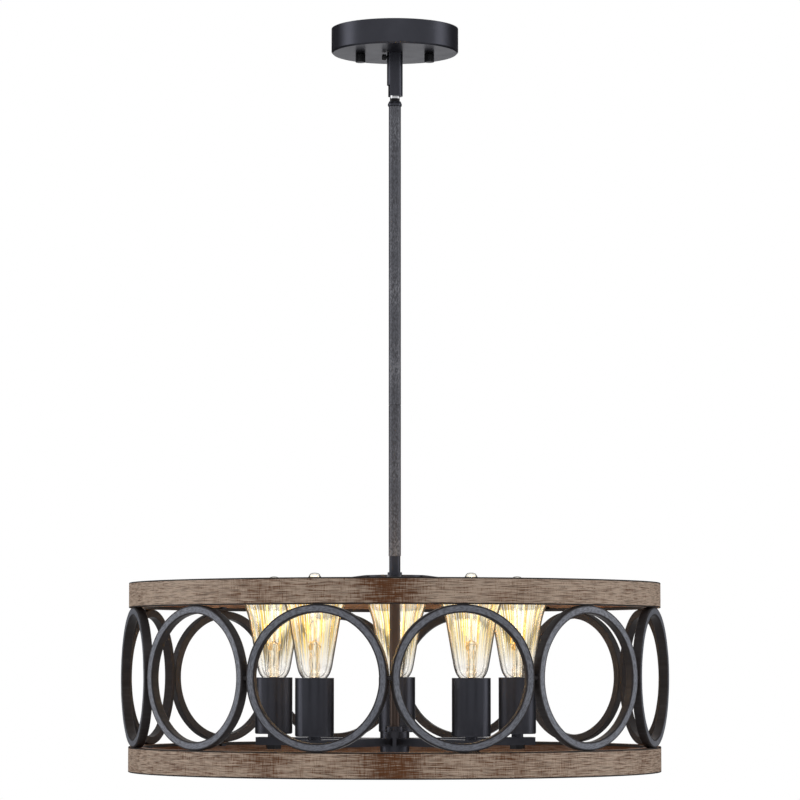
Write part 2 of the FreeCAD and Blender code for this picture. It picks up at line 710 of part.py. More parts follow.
def drill_spider_holes(body):
    """Holes for the spider's screws, the first one at the front, half a ring away from the first ring."""
    reach = spider_screw_reach
    place = (reach * cosine(ring_half_turn), -reach * sine(ring_half_turn), screw_hole)
    before = body.Shape.Volume
    cut = extrude(body, "Pocket", "spider_hole", [], 2 * (band_height - upper_flange), "XY_Plane", [place])
    if not body.Shape.Volume < before:
        raise RuntimeError("the spider hole removes nothing")
    around(body, [cut], spider_arm_count, "spider_holes")


def ring_bearing(index):
    """Direction of a ring from +X: the front of the lamp lies between two rings."""
    return 270 + (size_of(index) + 0.5) * (360 / ring_count)


def build_ring(index):
    """A flat ring standing on the lower hoop, drilled for two screws and for the pins to its neighbours."""
    body = new_body(f"ring_{index + 1:02d}")
    front = ring_front
    back = ring_back
    edge = ring_edge
    section = [(back + edge, ring_hole), (front - edge, ring_hole),
               (front, ring_hole + edge), (front, ring_radius - edge),
               (front - edge, ring_radius), (back + edge, ring_radius),
               (back, ring_radius - edge), (back, ring_hole + edge)]
    add_turned(body, "section", [section], axis="H_Axis")
    depth = screw_grip + thread_fit
    beyond = ring_radius + ring_face
    holes = [tube_points(screw_reach, screw_reach + screw_hole, ring_radius - depth, beyond),
             tube_points(screw_reach, screw_reach + screw_hole, -beyond, depth - ring_radius)]
    cut_turned(body, "screw_holes", holes, line=upright(screw_reach))
    for name, side in (("left", -1), ("right", 1)):
        along = (-sine(ring_half_turn) * side, cosine(ring_half_turn))
        outward = (cosine(ring_half_turn), sine(ring_half_turn) * side)
        middle = (pin_reach * outward[0], pin_reach * outward[1])

        def place(run, rise):
            x = middle[0] - run * along[0] + rise * outward[0]
            y = middle[1] - run * along[1] + rise * outward[1]
            return x, y

        long = pin_half + thread_fit
        fat = pin_radius + thread_fit
        line = (place(-long, ZERO), place(long, ZERO))
        points = [*line, place(long, fat), place(-long, fat)]
        cut_turned(body, f"{name}_pin_hole", [points], role="XY_Plane", line=line)
    aim(body, ring_bearing(index), ring_level)
    return body


def build_ring_pins():
    """Short pins at half height, each joining the sides of two neighbouring rings."""
    body = new_body("ring_pins")
    points = box_points(-pin_half, pin_half, pin_reach, pin_reach + pin_radius)
    line = ((-pin_half, pin_reach), (pin_half, pin_reach))
    first = add_turned(body, "section", [points], role="XY_Plane", line=line)
    around(body, [first], ring_count, "circle")
    aim(body, size_of(180), ring_level)
    return body


def build_ring_screws():
    grip = band_flange_height + screw_grip
    upper = screw_outline(upper_flange + band_flange_height, grip, 1)
    lower = screw_outline(lower_flange - band_flange_height, grip, -1)
    return turned_group("ring_screws", [upper, lower], screw_reach, ring_count, ring_bearing(0))


def build_hub():
    """Cup, open below, that the arms are let into; the centre tube screws into its roof."""
    roof = hub_top - hub_roof
    mouth = tube_radius + thread_fit
    points = [(mouth, hub_top), (hub_radius, hub_top), (hub_radius, hub_foot), (hub_inside, hub_foot),
              (hub_inside, roof), (mouth, roof)]
    body = turned("lamp_hub", points)
    before = body.Shape.Volume
    window = box_points(hub_inside - hub_wall, hub_radius + hub_wall, arm_foot, arm_top)
    cut = extrude(body, "Pocket", "window", [window], arm_width, "XZ_Plane")
    if not body.Shape.Volume < before:
        raise RuntimeError("the hub's window removes nothing")
    around(body, [cut], lamp_count, "windows")
    aim(body, lamp_bearing(0))
    return body


def build_hub_cap():
    plug = hub_inside - thread_fit
    foot = hub_foot - hub_cap_height
    bevel = hub_cap_height / 2
    plug_top = hub_foot + hub_plug_height
    points = [(ZERO, foot), (hub_radius - bevel, foot), (hub_radius, foot + bevel), (hub_radius, hub_foot),
              (plug, hub_foot), (plug, plug_top), (ZERO, plug_top)]
    return turned("hub_cap", points)


def build_arms():
    """Flat hollow arms, open into the hub and closed at the outer end."""
    body = new_body("lamp_arms")
    inner = hub_inside
    outer = lamp_radius + arm_overhang
    bar = extrude(body, "Pad", "bar", [box_points(inner, outer, arm_foot, arm_top)], arm_width, "XZ_Plane")
    hollow = box_points(inner, outer - arm_end, arm_foot + arm_wall, arm_top - arm_wall)
    way = extrude(body, "Pocket", "hollow", [hollow], arm_width - 2 * arm_wall, "XZ_Plane")
    hole = tube_points(lamp_radius, lamp_radius + nipple_hole, arm_foot - arm_wall, arm_top + arm_wall)
    drill = cut_turned(body, "nipple_hole", [hole], line=upright(lamp_radius))
    around(body, [bar, way, drill], lamp_count, "circle")
    aim(body, lamp_bearing(0))
    return body


def lamp_group(label, points):
    return turned_group(label, [points], lamp_radius, lamp_count, lamp_bearing(0))


def build_covers():
    inner = cover_radius - cover_wall
    points = [(nipple_hole, cover_foot), (cover_radius - cover_edge, cover_foot),
              (cover_radius, cover_foot + cover_edge), (cover_radius, cover_mouth), (inner, cover_mouth),
              (inner, holder_foot), (nipple_hole, holder_foot)]
    return lamp_group("socket_covers", points)


def build_holders():
    """Insulating lamp holders: a solid base on the nipple and a cup round the screw shell."""
    thread_top = holder_foot + holder_grip + thread_fit
    top = holder_foot + holder_height
    points = [(nipple_hole, holder_foot), (holder_radius, holder_foot), (holder_radius, top),
              (shell_outside, top), (shell_outside, holder_seat), (ZERO, holder_seat),
              (ZERO, thread_top), (nipple_hole, thread_top)]
    return lamp_group("lamp_holders", points)


def build_shells():
    lip = shell_outside - shell_lip
    points = [(lip, holder_seat), (shell_outside, holder_seat), (shell_outside, holder_seat + shell_height),
              (shell_inside, holder_seat + shell_height), (shell_inside, holder_seat + shell_wall),
              (lip, holder_seat + shell_wall)]
    return lamp_group("screw_shells", points)


def build_contacts():
    top = holder_seat + contact_height
    points = [(ZERO, holder_seat), (contact_radius, holder_seat), (contact_radius / 2, top), (ZERO, top)]
    return lamp_group("spring_contacts", points)


def build_bulb_cap(index):
    """Metal screw cap of one bulb: insulator and solder tip below, a cup for the glass above."""
    body = new_body(f"bulb_{index + 1}_cap")
    top = cap_foot + cap_height
    inner = cap_radius - cap_wall
    x = lamp_radius
    floor = glass_foot - thread_fit
    half = [(ZERO, cap_foot), (cap_tip_radius, cap_foot), (cap_radius, cap_foot + cap_cone),
            (cap_radius, top), (inner, top), (inner, floor), (ZERO, floor)]
    add_turned(body, "section", [[(x + r, z) for r, z in half]], line=upright(x))
    aim(body, lamp_bearing(index))
    return body


def glass_edges(inset):
    """Outline of the glass from neck to tip, set in by the glass's thickness for the inside."""
    def place(radius, height, sink=0.0):
        return FreeCAD.Vector(radius.value - inset, 0, height.value - sink)

    foot = place(glass_neck_radius, ZERO)
    neck = place(glass_neck_radius, glass_neck_height)
    flare = place(glass_flare_radius, glass_flare_height)
    side = place(glass_side_radius, glass_side_height)
    belly = place(glass_belly_radius, glass_belly_height)
    dome = place(glass_dome_radius, glass_dome_height, inset)
    tip = place(glass_tip_radius, glass_tip_height, inset)
    top = FreeCAD.Vector(0, 0, glass_height.value - inset)
    slope = side - flare
    outward = FreeCAD.Vector(slope.Length, 0, slope.Length)
    inward = FreeCAD.Vector(-slope.Length, 0, 0)
    shoulder = Part.BSplineCurve()
    shoulder.interpolate([neck, flare], InitialTangent=outward, FinalTangent=slope)
    crown = Part.BSplineCurve()
    crown.interpolate([side, belly, dome, tip, top], InitialTangent=slope, FinalTangent=inward)
    return [Part.makeLine(foot, neck), shoulder.toShape(), Part.makeLine(flare, side), crown.toShape()]


def build_glass(index):
    """Blown envelope of one bulb: a free curve turned about the bulb's axis, with a hollow inside."""
    outside = glass_edges(0)
    inside = glass_edges(glass_wall.value)
    floor = Part.makeLine(inside[0].Vertexes[0].Point, outside[0].Vertexes[0].Point)
    crown = Part.makeLine(outside[-1].Vertexes[-1].Point, inside[-1].Vertexes[-1].Point)
    face = Part.Face(Part.Wire(Part.__sortEdges__([floor, crown] + outside + inside)))
    piece = doc.addObject("Part::Feature", f"bulb_{index + 1}_glass")
    piece.Label = f"bulb_{index + 1}_glass"
    piece.Shape = face.revolve(FreeCAD.Vector(), FreeCAD.Vector(0, 0, 1), 360)
    bearing = math.radians(lamp_bearing(index).value)
    x = lamp_radius.value * math.cos(bearing)
    y = lamp_radius.value * math.sin(bearing)
    piece.Placement.Base = FreeCAD.Vector(x, y, glass_foot.value)
    return piece


def build_all():
    """Every sub-part, from the ceiling down."""
    pieces = [build_crossbar(), build_studs(), build_ground_screw(), build_canopy()]
    pieces += [build_knob("knob_left", -1), build_knob("knob_right", 1)]
    pieces.append(build_collar())
    collar_thread = collar_shank_radius + thread_fit
    pieces.append(hex_nut("collar_nut", collar_nut_flats, collar_thread, collar_nut_height,
                          canopy_floor + canopy_wall))
    pieces += [build_thumb_screw(), build_bolt()]
    bush_outside = sleeve_bore - thread_fit
    bush = tube_points(bolt_radius + thread_fit, bush_outside, sleeve_top - bush_height, sleeve_top)
    pieces.append(turned("swivel_bush", bush))
    pieces += [build_sleeve(), build_ball(), build_ferrule()]
    pieces.append(build_rod("upper_rod", upper_rod_top, upper_rod_length))
    pieces.append(build_nipple("rod_nipple", rod_joint - thread_reach, rod_joint + thread_reach))
    pieces.append(build_rod("lower_rod", rod_joint, lower_rod_length))
    pieces.append(build_nipple("stem_nipple", tube_top - thread_reach, lower_rod_foot + thread_reach))
    pieces += [build_stem_collar(), build_spider(), build_spider_screws()]
    pieces.append(hex_nut("spider_nut", spider_nut_flats, thread_hole, spider_nut_height, tube_top))
    pieces.append(turned("centre_tube", tube_points(thread_hole, tube_radius, tube_foot, tube_top)))
    upper_band = build_band("upper_band", upper_flange, 1)
    drill_spider_holes(upper_band)
    lower_band = build_band("lower_band", lower_flange, -1)
    pieces += [upper_band, lower_band]
    pieces += [build_ring(index) for index in range(int(ring_count.value))]
    pieces += [build_ring_pins(), build_ring_screws()]
    lock = tube_points(tube_radius + thread_fit, hub_collar_radius, hub_top, hub_top + hub_collar_height)
    pieces.append(turned("hub_collar", lock))
    pieces += [build_hub(), build_hub_cap(), build_arms()]
    pieces.append(hex_nut("arm_nuts", arm_nut_flats, nipple_hole, arm_nut_height, arm_foot - arm_nut_height,
                          lamp_radius, lamp_count, lamp_bearing(0)))
    nipple_foot = arm_foot - arm_nut_height
    nipple = tube_points(nipple_bore_radius, nipple_radius, nipple_foot, holder_foot + holder_grip)
    pieces.append(lamp_group("lamp_nipples", nipple))
    spacer = tube_points(nipple_hole, spacer_radius, arm_top, cover_foot)
    pieces.append(lamp_group("socket_spacers", spacer))
    pieces += [build_covers(), build_holders(), build_shells(), build_contacts()]
    for index in range(int(lamp_count.value)):
        pieces += [build_bulb_cap(index), build_glass(index)]
    return pieces


pieces = build_all()
doc.recompute()
for item in doc.Objects:
    if "Invalid" in item.State or "Error" in item.State:
        raise RuntimeError(f"{item.Label} failed: {item.State}")
for piece in pieces:
    if piece.Shape.isNull() or not piece.Shape.isValid():
        raise RuntimeError(f"{piece.Label} has no sound shape")
os.makedirs("parts", exist_ok=True)
for piece in pieces:
    piece.Shape.exportStep(f"parts/{piece.Label}.step")
    print(piece.Label, len(piece.Shape.Solids), round(piece.Shape.Volume, 1))
print("nodes", len(pieces))
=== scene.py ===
"""Looks of the drum chandelier: satin paint, wood-look hoops, forged rings, lit bulbs and a white studio."""

import json
import math

import bmesh
import bpy
from mathutils import Matrix, Vector, noise

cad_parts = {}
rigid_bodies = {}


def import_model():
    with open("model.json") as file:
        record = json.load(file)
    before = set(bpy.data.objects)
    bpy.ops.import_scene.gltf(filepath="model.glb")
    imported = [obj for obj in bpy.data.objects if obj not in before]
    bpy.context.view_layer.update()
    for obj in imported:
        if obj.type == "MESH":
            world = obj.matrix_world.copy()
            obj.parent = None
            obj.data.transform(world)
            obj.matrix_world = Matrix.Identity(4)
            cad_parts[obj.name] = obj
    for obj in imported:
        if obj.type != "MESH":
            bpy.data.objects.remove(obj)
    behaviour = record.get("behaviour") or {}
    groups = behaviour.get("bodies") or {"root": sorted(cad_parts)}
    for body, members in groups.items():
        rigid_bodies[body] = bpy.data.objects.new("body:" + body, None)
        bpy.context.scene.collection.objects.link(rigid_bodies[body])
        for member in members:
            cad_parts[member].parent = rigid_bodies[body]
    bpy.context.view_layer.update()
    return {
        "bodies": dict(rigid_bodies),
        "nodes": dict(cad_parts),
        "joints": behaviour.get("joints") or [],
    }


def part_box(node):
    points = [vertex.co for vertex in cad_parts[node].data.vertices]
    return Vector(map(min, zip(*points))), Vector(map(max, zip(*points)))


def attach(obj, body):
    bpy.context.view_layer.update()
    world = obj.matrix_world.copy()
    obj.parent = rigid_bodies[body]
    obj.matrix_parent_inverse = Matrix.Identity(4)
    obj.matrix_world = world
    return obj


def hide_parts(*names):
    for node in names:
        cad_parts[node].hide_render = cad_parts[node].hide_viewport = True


bl_info = {
    "name": "Drum chandelier",
    "version": (1, 0, 0),
    "blender": (4, 5, 0),
    "location": "View3D > Sidebar > Chandelier",
    "description": "Dresses the drum chandelier and sets up its studio",
    "category": "Object",
}

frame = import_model()
NODES = frame["nodes"]
RINGS = sorted(name for name in NODES if name.removeprefix("ring_").isdigit())
BULBS = sorted(name for name in frame["bodies"] if name.startswith("bulb_"))
EDGE_FADE = 0.0011
SAME_PLACE = 1e-7
BLACK = (0.0, 0.0, 0.0)
WHITE = (1.0, 1.0, 1.0)


def length(name, description, default):
    """A length or a height, in metres."""
    return bpy.props.FloatProperty(name=name, description=description, default=default, unit="LENGTH",
                                   precision=5)


def share(name, description, default):
    """A share from 0 to 1."""
    return bpy.props.FloatProperty(name=name, description=description, default=default, subtype="FACTOR",
                                   min=0, max=1)


def number(name, description, default):
    """A count of at least 1."""
    return bpy.props.IntProperty(name=name, description=description, default=default, min=1)


def angle(name, description, degrees):
    """An angle, given in degrees."""
    default = math.radians(degrees)
    return bpy.props.FloatProperty(name=name, description=description, default=default, unit="ROTATION")


def power(name, description, default):
    """The power of a lamp, in watts."""
    return bpy.props.FloatProperty(name=name, description=description, default=default, unit="POWER")


def colour(name, description, default):
    """A colour, as linear red, green and blue."""
    return bpy.props.FloatVectorProperty(name=name, description=description, default=default,
                                         subtype="COLOR", size=3, min=0, max=1)


def spot(name, description, default):
    """A place, in metres."""
    return bpy.props.FloatVectorProperty(name=name, description=description, default=default,
                                         subtype="XYZ", unit="LENGTH", size=3)


def extent(name, description, default):
    """Two sides of a rectangle, in metres."""
    return bpy.props.FloatVectorProperty(name=name, description=description, default=default,
                                         unit="LENGTH", size=2)


class PaintSettings(bpy.types.PropertyGroup):
    """Colours of the painted and plated metal, and the size of the marks in them."""

    black: colour("Black", "Satin paint of the pan, sockets, hub and arms", (0.035, 0.036, 0.044))
    black_thin: colour("Thin black", "The same paint where it lies thinner", (0.043, 0.044, 0.053))
    knob: colour("Knobs", "Blacker coat of the knob nuts and the thumb screw", (0.014, 0.014, 0.015))
    knob_thin: colour("Thin on knobs", "The same coat where it lies thinner", (0.023, 0.023, 0.025))
    # Painted reflection: the brown of the centre tube stands in for the warm light of the lit bulbs around
    # it, over a black like the rest.
    tube: colour("Tube", "Browner coat of the centre tube, between the lamps", (0.048, 0.036, 0.032))
    tube_thin: colour("Thin on tube", "The same coat where it lies thinner", (0.062, 0.048, 0.043))
    black_rough: share("Black roughness", "Roughness of the black coats where they are thickest", 0.26)
    black_metal: share("Black metal", "How metallic the black coats look", 0.9)
    thin_place: length("Thin places", "Size of the places where the black coat lies thinner", 0.0167)
    peel: length("Orange peel", "Size of the fine dimples in the black coat", 0.0006)
    peel_deep: length("Orange peel depth", "Depth of those dimples", 0.00012)
    sheen: colour("Sheen", "Gloss of the paint where it is seen along its surface", (0.60, 0.60, 0.62))
    iron: colour("Iron", "Dark ground of the rings and rods", (0.0125, 0.012, 0.0132))
    iron_brown: colour("Brown iron", "The same ground where it is browner", (0.028, 0.0215, 0.019))
    iron_rubbed: colour("Rubbed iron", "Grey rubbed over the dark ground", (0.215, 0.226, 0.262))
    iron_pale: colour("Pale iron", "Paler grey where it was rubbed most", (0.34, 0.35, 0.38))
    iron_rough: share("Iron roughness", "Roughness of the iron's paint where it is least rubbed", 0.36)
    rod_metal: share("Rod metal", "How metallic the rods look", 0.6)
    rod_rub: share("Rod rub", "How much grey is rubbed over the rods", 0.42)
    rod_pale: share("Rod pale", "How much of it is the paler grey", 0.8)
    ring_metal: share("Ring metal", "How metallic the rings look", 0.15)
    # Also the rub on the rings' inner faces. It is kept low partly as painted shade on the sides that face
    # into the drum.
    ring_rub: share("Ring wall rub", "How much grey is rubbed over the rings' walls", 0.05)
    ring_pale: share("Ring pale", "How much of the grey on the rings is the paler one", 0.55)
    brown_place: length("Brown places", "Size of the browner places on the iron", 0.0625)
    grit: length("Grit", "Size of the grains in the iron's paint", 0.00067)
    grit_deep: length("Grit height", "Height of those grains", 0.00014)
    rub_wide: length("Rod rub width", "Width of a rubbed mark on a rod", 0.0011)
    rub_long: length("Rod rub length", "Length of a rubbed mark on a rod", 0.0026)
    zinc: colour("Zinc", "Bright plating of nuts, screws and the swivel's neck", (0.60, 0.60, 0.61))
    zinc_dull: colour("Dull zinc", "Plating that has gone dull", (0.40, 0.41, 0.43))
    zinc_rough: share("Zinc roughness", "Roughness of the bright plating", 0.16)
    brass: colour("Brass", "Screw shells, contacts and lamp caps", (0.62, 0.43, 0.17))
    brass_dull: colour("Dull brass", "Brass that has gone dull", (0.34, 0.22, 0.09))
    brass_rough: share("Brass roughness", "Roughness of the bright brass", 0.2)
    dull_place: length("Dull places", "Size of the dull places on bare and plated metal", 0.011)
    scratch_wide: length("Scratch height", "Height of a fine scratch", 0.0002)
    scratch_long: length("Scratch length", "Length of a fine scratch", 0.0025)
    scratch_deep: length("Scratch depth", "Depth of a fine scratch", 0.00004)
    insulator: colour("Insulator", "Moulded lamp holders", (0.018, 0.017, 0.016))
    speck: length("Specks", "Size of the specks in the insulator", 0.0011)
    speck_deep: length("Speck height", "Height of those specks", 0.00008)
    ground: colour("Ground screw", "Green plating of the grounding screw", (0.05, 0.22, 0.08))
    ground_rough: share("Ground screw roughness", "Roughness of the green plating", 0.25)
    neck_top: length("Neck top", "Height where the swivel's bright neck meets its blackened ball", -0.0675)
    neck_foot: length("Neck foot", "Height where the neck turns dark again above the rods", -0.0712)
    neck_fade: length("Neck fade", "Half the width of those two changes", 0.0005)
    stain: length("Stains", "Size of the stains on the swivel's ball and neck", 0.0033)
    stain_deep: length("Stain depth", "Depth of those stains", 0.00005)


class HoopSettings(bpy.types.PropertyGroup):
    """Section and wood grain of the two hoops."""

    wall: length("Wall", "Thickness of the upright wall", 0.002)
    flange: length("Flange", "Width of the flange, from the outside", 0.0145)
    corner: length("Corner", "Rounding of the edges", 0.0006)
    steps: number("Steps", "Steps round a hoop", 288)
    pale: colour("Pale grain", "Grey-brown of the raised grain", (0.605, 0.466, 0.362))
    brown: colour("Brown grain", "Brown between the pale grain", (0.118, 0.041, 0.012))
    dark: colour("Dark grain", "Pores and rubbed-in glaze", (0.024, 0.010, 0.004))
    # Painted shade: the dark line along the hoops' edges.
    rim: colour("Rims", "Dark line along the edges", (0.006, 0.004, 0.0035))
    upper_coat: share("Upper coat", "How much more of the pale coat the upper hoop has", 0.06)
    inside_coat: share("Inside coat", "How much of the pale coat there is inside a hoop", 0.25)
    # Painted shade: how much darker the hoop is made in those stretches, with less of the pale coat.
    stretch_shade: share("Wear", "How much of the pale coat is rubbed off where it is thinnest", 0.34)
    stretches: number("Worn stretches", "Stretches of a hoop where the pale coat is rubbed thin", 3)
    rough: share("Roughness", "Roughness of the wood grain", 0.48)
    fibre_long: length("Fibre length", "Length of a long fibre", 0.040)
    fibre_thick: length("Fibre thickness", "Thickness of a long fibre", 0.00074)
    short_long: length("Short fibre length", "Length of a short fibre", 0.0133)
    short_thick: length("Short fibre thickness", "Thickness of a short fibre", 0.00087)
    pore_long: length("Pore length", "Length of a dark pore", 0.0167)
    pore_thick: length("Pore thickness", "Thickness of a dark pore", 0.00053)
    saw_wide: length("Saw mark width", "Width of a saw mark along the hoop", 0.001)
    saw_tall: length("Saw mark height", "Height of a saw mark", 0.0091)
    # Uneven places in the painted shade along the edges.
    rim_break_long: length("Wear length", "Length of an uneven place in the dark rims", 0.0455)
    rim_break_tall: length("Wear height", "Height of an uneven place in the dark rims", 0.0024)
    cloud_long: length("Cloud length", "Length of a paler or darker cloud in the coat", 0.0714)
    cloud_tall: length("Cloud height", "Height of such a cloud", 0.05)
    grain_deep: length("Grain depth", "How far the fibres stand out", 0.00022)


class RingSettings(bpy.types.PropertyGroup):
    """Shape of the flat rings and the rubbing on their faces."""

    face: length("Face", "Width of a ring's face", 0.008)
    depth: length("Depth", "Front to back of a ring", 0.0088)
    corner: length("Corner", "Rounding of the edges", 0.0009)
    uneven: length("Unevenness", "How far the forged surface wanders", 0.00012)
    wander: length("Wander", "Distance between its high and low places", 0.0143)
    seed: number("Seed", "Which of the many uneven surfaces the rings get", 1)
    steps: number("Steps", "Steps round a ring", 144)
    rub_turn: angle("Rub length", "Angle that a rubbed mark runs round a ring", 3.58)
    rub_wide: length("Rub width", "Width of a rubbed mark on a ring's face", 0.00071)


class KnobSettings(bpy.types.PropertyGroup):
    """Shape and knurling of the knob nuts and the thumb screw."""

    bore: length("Bore", "Radius of the stud's hole in a knob nut", 0.0021)
    bore_depth: length("Bore depth", "Depth of that hole", 0.0065)
    ridges: number("Ridges", "Ridges round a knob nut", 30)
    ridge: length("Ridge", "Depth of the ridges", 0.00028)
    corner: length("Corner", "Rounding of the knob nuts and the thumb screw", 0.0006)
    thumb_tip: length("Thumb tip", "Tip of the thumb screw from the rods' axis", 0.0051)
    thumb_stand: length("Thumb stand", "Head of the thumb screw from the rods' axis", 0.0094)
    thumb_length: length("Thumb length", "Length of that head", 0.0036)
    thumb_head: length("Thumb head", "Radius of that head", 0.0031)
    thumb_shank: length("Thumb shank", "Radius of the thumb screw's shank", 0.0015)
    thumb_ridges: number("Thumb ridges", "Ridges round the thumb screw's head", 16)


class BulbSettings(bpy.types.PropertyGroup):
    """Glass, stem and filament of the bulbs. Heights are above the foot of the glass."""

    strands: number("Strands", "Upright strands of the filament", 6)
    wire: length("Wire", "Radius of the glowing filament", 0.0005)
    cage_foot: length("Cage foot", "Radius of the filament cage at its foot", 0.0072)
    cage_head: length("Cage head", "Radius of the filament cage at its head", 0.0084)
    cage_low: length("Cage low", "Height of the filament's foot and of the top of the stem's press", 0.060)
    cage_high: length("Cage high", "Height of the filament's head and of the post's tip", 0.107)
    lead: length("Lead", "Radius of the support wires", 0.00022)
    lead_drop: length("Lead drop", "How far the upper supports leave the post below their ends", 0.001)
    lead_root: length("Lead root", "How far below the top of the press the lower wires meet it", 0.004)
    lead_low: length("Lead low", "Height where the two lead wires in the stem begin", 0.008)
    lead_apart: length("Lead distance", "Those two wires from the bulb's axis", 0.0021)
    clamp: length("Clamp", "Radius of the clamps that hold the filament's foot", 0.0009)
    clamp_long: length("Clamp length", "Length of those clamps", 0.0075)
    clamp_apart: length("Clamp distance", "Those clamps from the bulb's axis", 0.0043)
    stem_foot: length("Stem foot", "Radius of the flared foot of the glass stem", 0.0090)
    stem_low: length("Stem low", "Height of that foot", 0.006)
    flare: length("Flare", "Radius halfway up the flare", 0.0056)
    flare_high: length("Flare height", "Height of that place", 0.014)
    stem: length("Stem", "Radius of the glass stem", 0.0050)
    stem_neck: length("Stem neck", "Height where the flare ends", 0.024)
    press: length("Press", "Radius of the press on top of the stem", 0.0062)
    press_top: length("Press top", "Radius of the press at its top", 0.0040)
    press_tall: length("Press height", "Height of the press", 0.010)
    post: length("Post", "Radius of the glass post that carries the supports", 0.0011)
    bead: length("Bead", "Radius of the bead at the post's tip", 0.0024)
    bead_top: length("Bead top", "Radius of the bead at its top", 0.0018)
    bead_tall: length("Bead height", "Height of the bead", 0.004)
    stem_steps: number("Stem steps", "Steps round the stem", 32)
    draw_wide: length("Draw line width", "Width of a draw line in the stem's glass", 0.0011)
    draw_long: length("Draw line length", "Length of such a line", 0.05)
    draw_deep: length("Draw line depth", "Depth of such a line", 0.0002)
    clear: colour("Clear glass", "Glass where it is clear", (0.985, 0.975, 0.955))
    # Painted glow: the next five settings make the glass give off light of its own and tint it down beside
    # the filament, standing in for the filament's glare.
    lit: colour("Lit glass", "Glass beside the filament", (0.84, 0.83, 0.80))
    painted_glow: colour("Haze", "Light that the glass gives off beside the filament's foot", (0.30, 0.28, 0.20))
    painted_glare: colour("Glare", "Light that the glass gives off further up", (0.66, 0.63, 0.53))
    painted_streak_glow: colour("Streak glow", "Light that the amber streaks give off", (0.26, 0.15, 0.01))
    painted_glow_strength: share("Haze strength", "How strong those lights are", 0.28)
    # Painted reflections: amber streaks of the filament's light and darker streaks of the surroundings seen
    # through the glass.
    amber: colour("Amber streaks", "Glass where the light colours it", (0.93, 0.66, 0.10))
    painted_dark_streak: colour("Smoke streaks", "Thin darker lines in the glass", (0.30, 0.22, 0.15))
    streak: angle("Streak", "Angle that a fine streak takes round the glass", 3.37)
    streak_group: angle("Streak group", "Angle that a group of streaks takes round the glass", 17.9)
    streak_deep: length("Streak depth", "How far the streaks ripple the glass", 0.0004)
    # Painted shade: a dark outline where the glass is seen along its wall, for the dark surroundings
    # refracted there. Beside the filament and on the stem it is warmer, as painted light.
    line: colour("Outline", "Glass seen along its wall, low on the bulb", (0.030, 0.028, 0.026))
    painted_lit_outline: colour("Lit outline", "Glass seen along its wall beside the filament", (0.22, 0.16, 0.08))
    painted_stem_outline: colour("Stem outline", "Glass of the stem seen along its wall", (0.52, 0.40, 0.24))
    line_inner: share("Outline inside", "How far the outline reaches in: 1 is edge on, 0 is face on", 0.58)
    line_outer: share("Outline outside", "Where the outline is full", 0.74)
    glow: colour("Glow", "Colour of the filament", (0.80, 0.40, 0.03))
    glow_pale: colour("Pale glow", "Colour of the filament where it is hottest", (1.0, 0.76, 0.22))
    hot_place: length("Hot places", "Size of the hotter places on the filament", 0.0042)
    strength: share("Strength", "How strong the filament's own light is", 1.0)
    metal: colour("Filament metal", "Colour of the filament's metal", (0.30, 0.20, 0.10))
    warmth: colour("Warmth", "Colour of the light that the filament throws", (1.0, 0.62, 0.28))
    warm: power("Warm light", "Light that each bulb throws on its surroundings", 0.26)
    source: length("Light source", "Radius of the source of that light", 0.012)


class StageSettings(bpy.types.PropertyGroup):
    """Camera, lamps, floor and cards."""

    distance: length("Distance", "Camera from the rods' axis, level", 3.58)
    bearing: angle("Bearing", "Camera to the right of the front", 1.0)
    eye: length("Eye level", "Height of the camera", -0.645)
    aim: length("Aim", "Height that the camera looks at", -0.3784)
    aside: length("Aside", "How far right of the rods the camera looks", 0.00525)
    view_angle: angle("View angle", "Field of view", 12.847)
    floor: length("Floor", "Height of the floor, a room below the ceiling", -2.4)
    floor_radius: length("Floor radius", "Reach of the floor", 4.0)
    floor_steps: number("Floor steps", "Steps round the floor's edge", 96)
    floor_tone: colour("Floor", "Colour of the floor", (0.84, 0.84, 0.84))
    floor_pale: colour("Pale floor", "Colour of its paler clouds", (0.90, 0.90, 0.90))
    floor_cloud: length("Floor clouds", "Size of those clouds", 0.33)
    floor_white: share("White floor", "How much of the white the floor shows in its middle", 0.55)
    floor_middle: length("Floor middle", "Reach of that middle", 0.5)
    ambient: share("Ambient", "Light from all round", 0.18)
    lamp_aim: spot("Lamp aim", "Where the soft lamps look", (0.0, 0.0, -0.5))
    side_lamp: power("Side lamps", "Soft lamps left and right", 14.5)
    side_place: spot("Side lamp place", "The right lamp, which the left one mirrors", (2.2, 0.0, -0.3))
    side_size: extent("Side lamp size", "Width and height of the side lamps", (0.8, 2.2))
    right_share: share("Right share", "Light of the right lamp as a share of the left one's", 0.85)
    front_lamp: power("Front lamp", "Soft lamp above the camera", 38.0)
    front_place: spot("Front lamp place", "Where the front lamp hangs", (0.2, -2.6, 2.0))
    front_size: extent("Front lamp size", "Width and height of the front lamp", (1.6, 1.2))
    low_lamp: power("Low lamp", "Soft light from the floor", 5.5)
    low_place: spot("Low lamp place", "Where the low lamp stands", (0.0, -0.9, -1.7))
    low_size: extent("Low lamp size", "Width and depth of the low lamp", (2.0, 1.4))
    card_reach: length("Card distance", "Dark cards from the rods' axis", 2.0)
    card_front: angle("Card front edge", "Bearing of the cards' front edge from the camera's side", 114.0)
    card_back: angle("Card back edge", "Bearing of the cards' back edge from the camera's side", 166.0)
    card_top: length("Card top", "Height of the cards' upper edge", 0.8)
    card_tone: colour("Cards", "Colour of the dark cards", (0.20, 0.20, 0.205))
    card_worn: colour("Worn cards", "Colour of the cards where they are scuffed", (0.27, 0.27, 0.275))
    scuff: length("Scuffs", "Size of the scuffed places on the cards", 0.2)


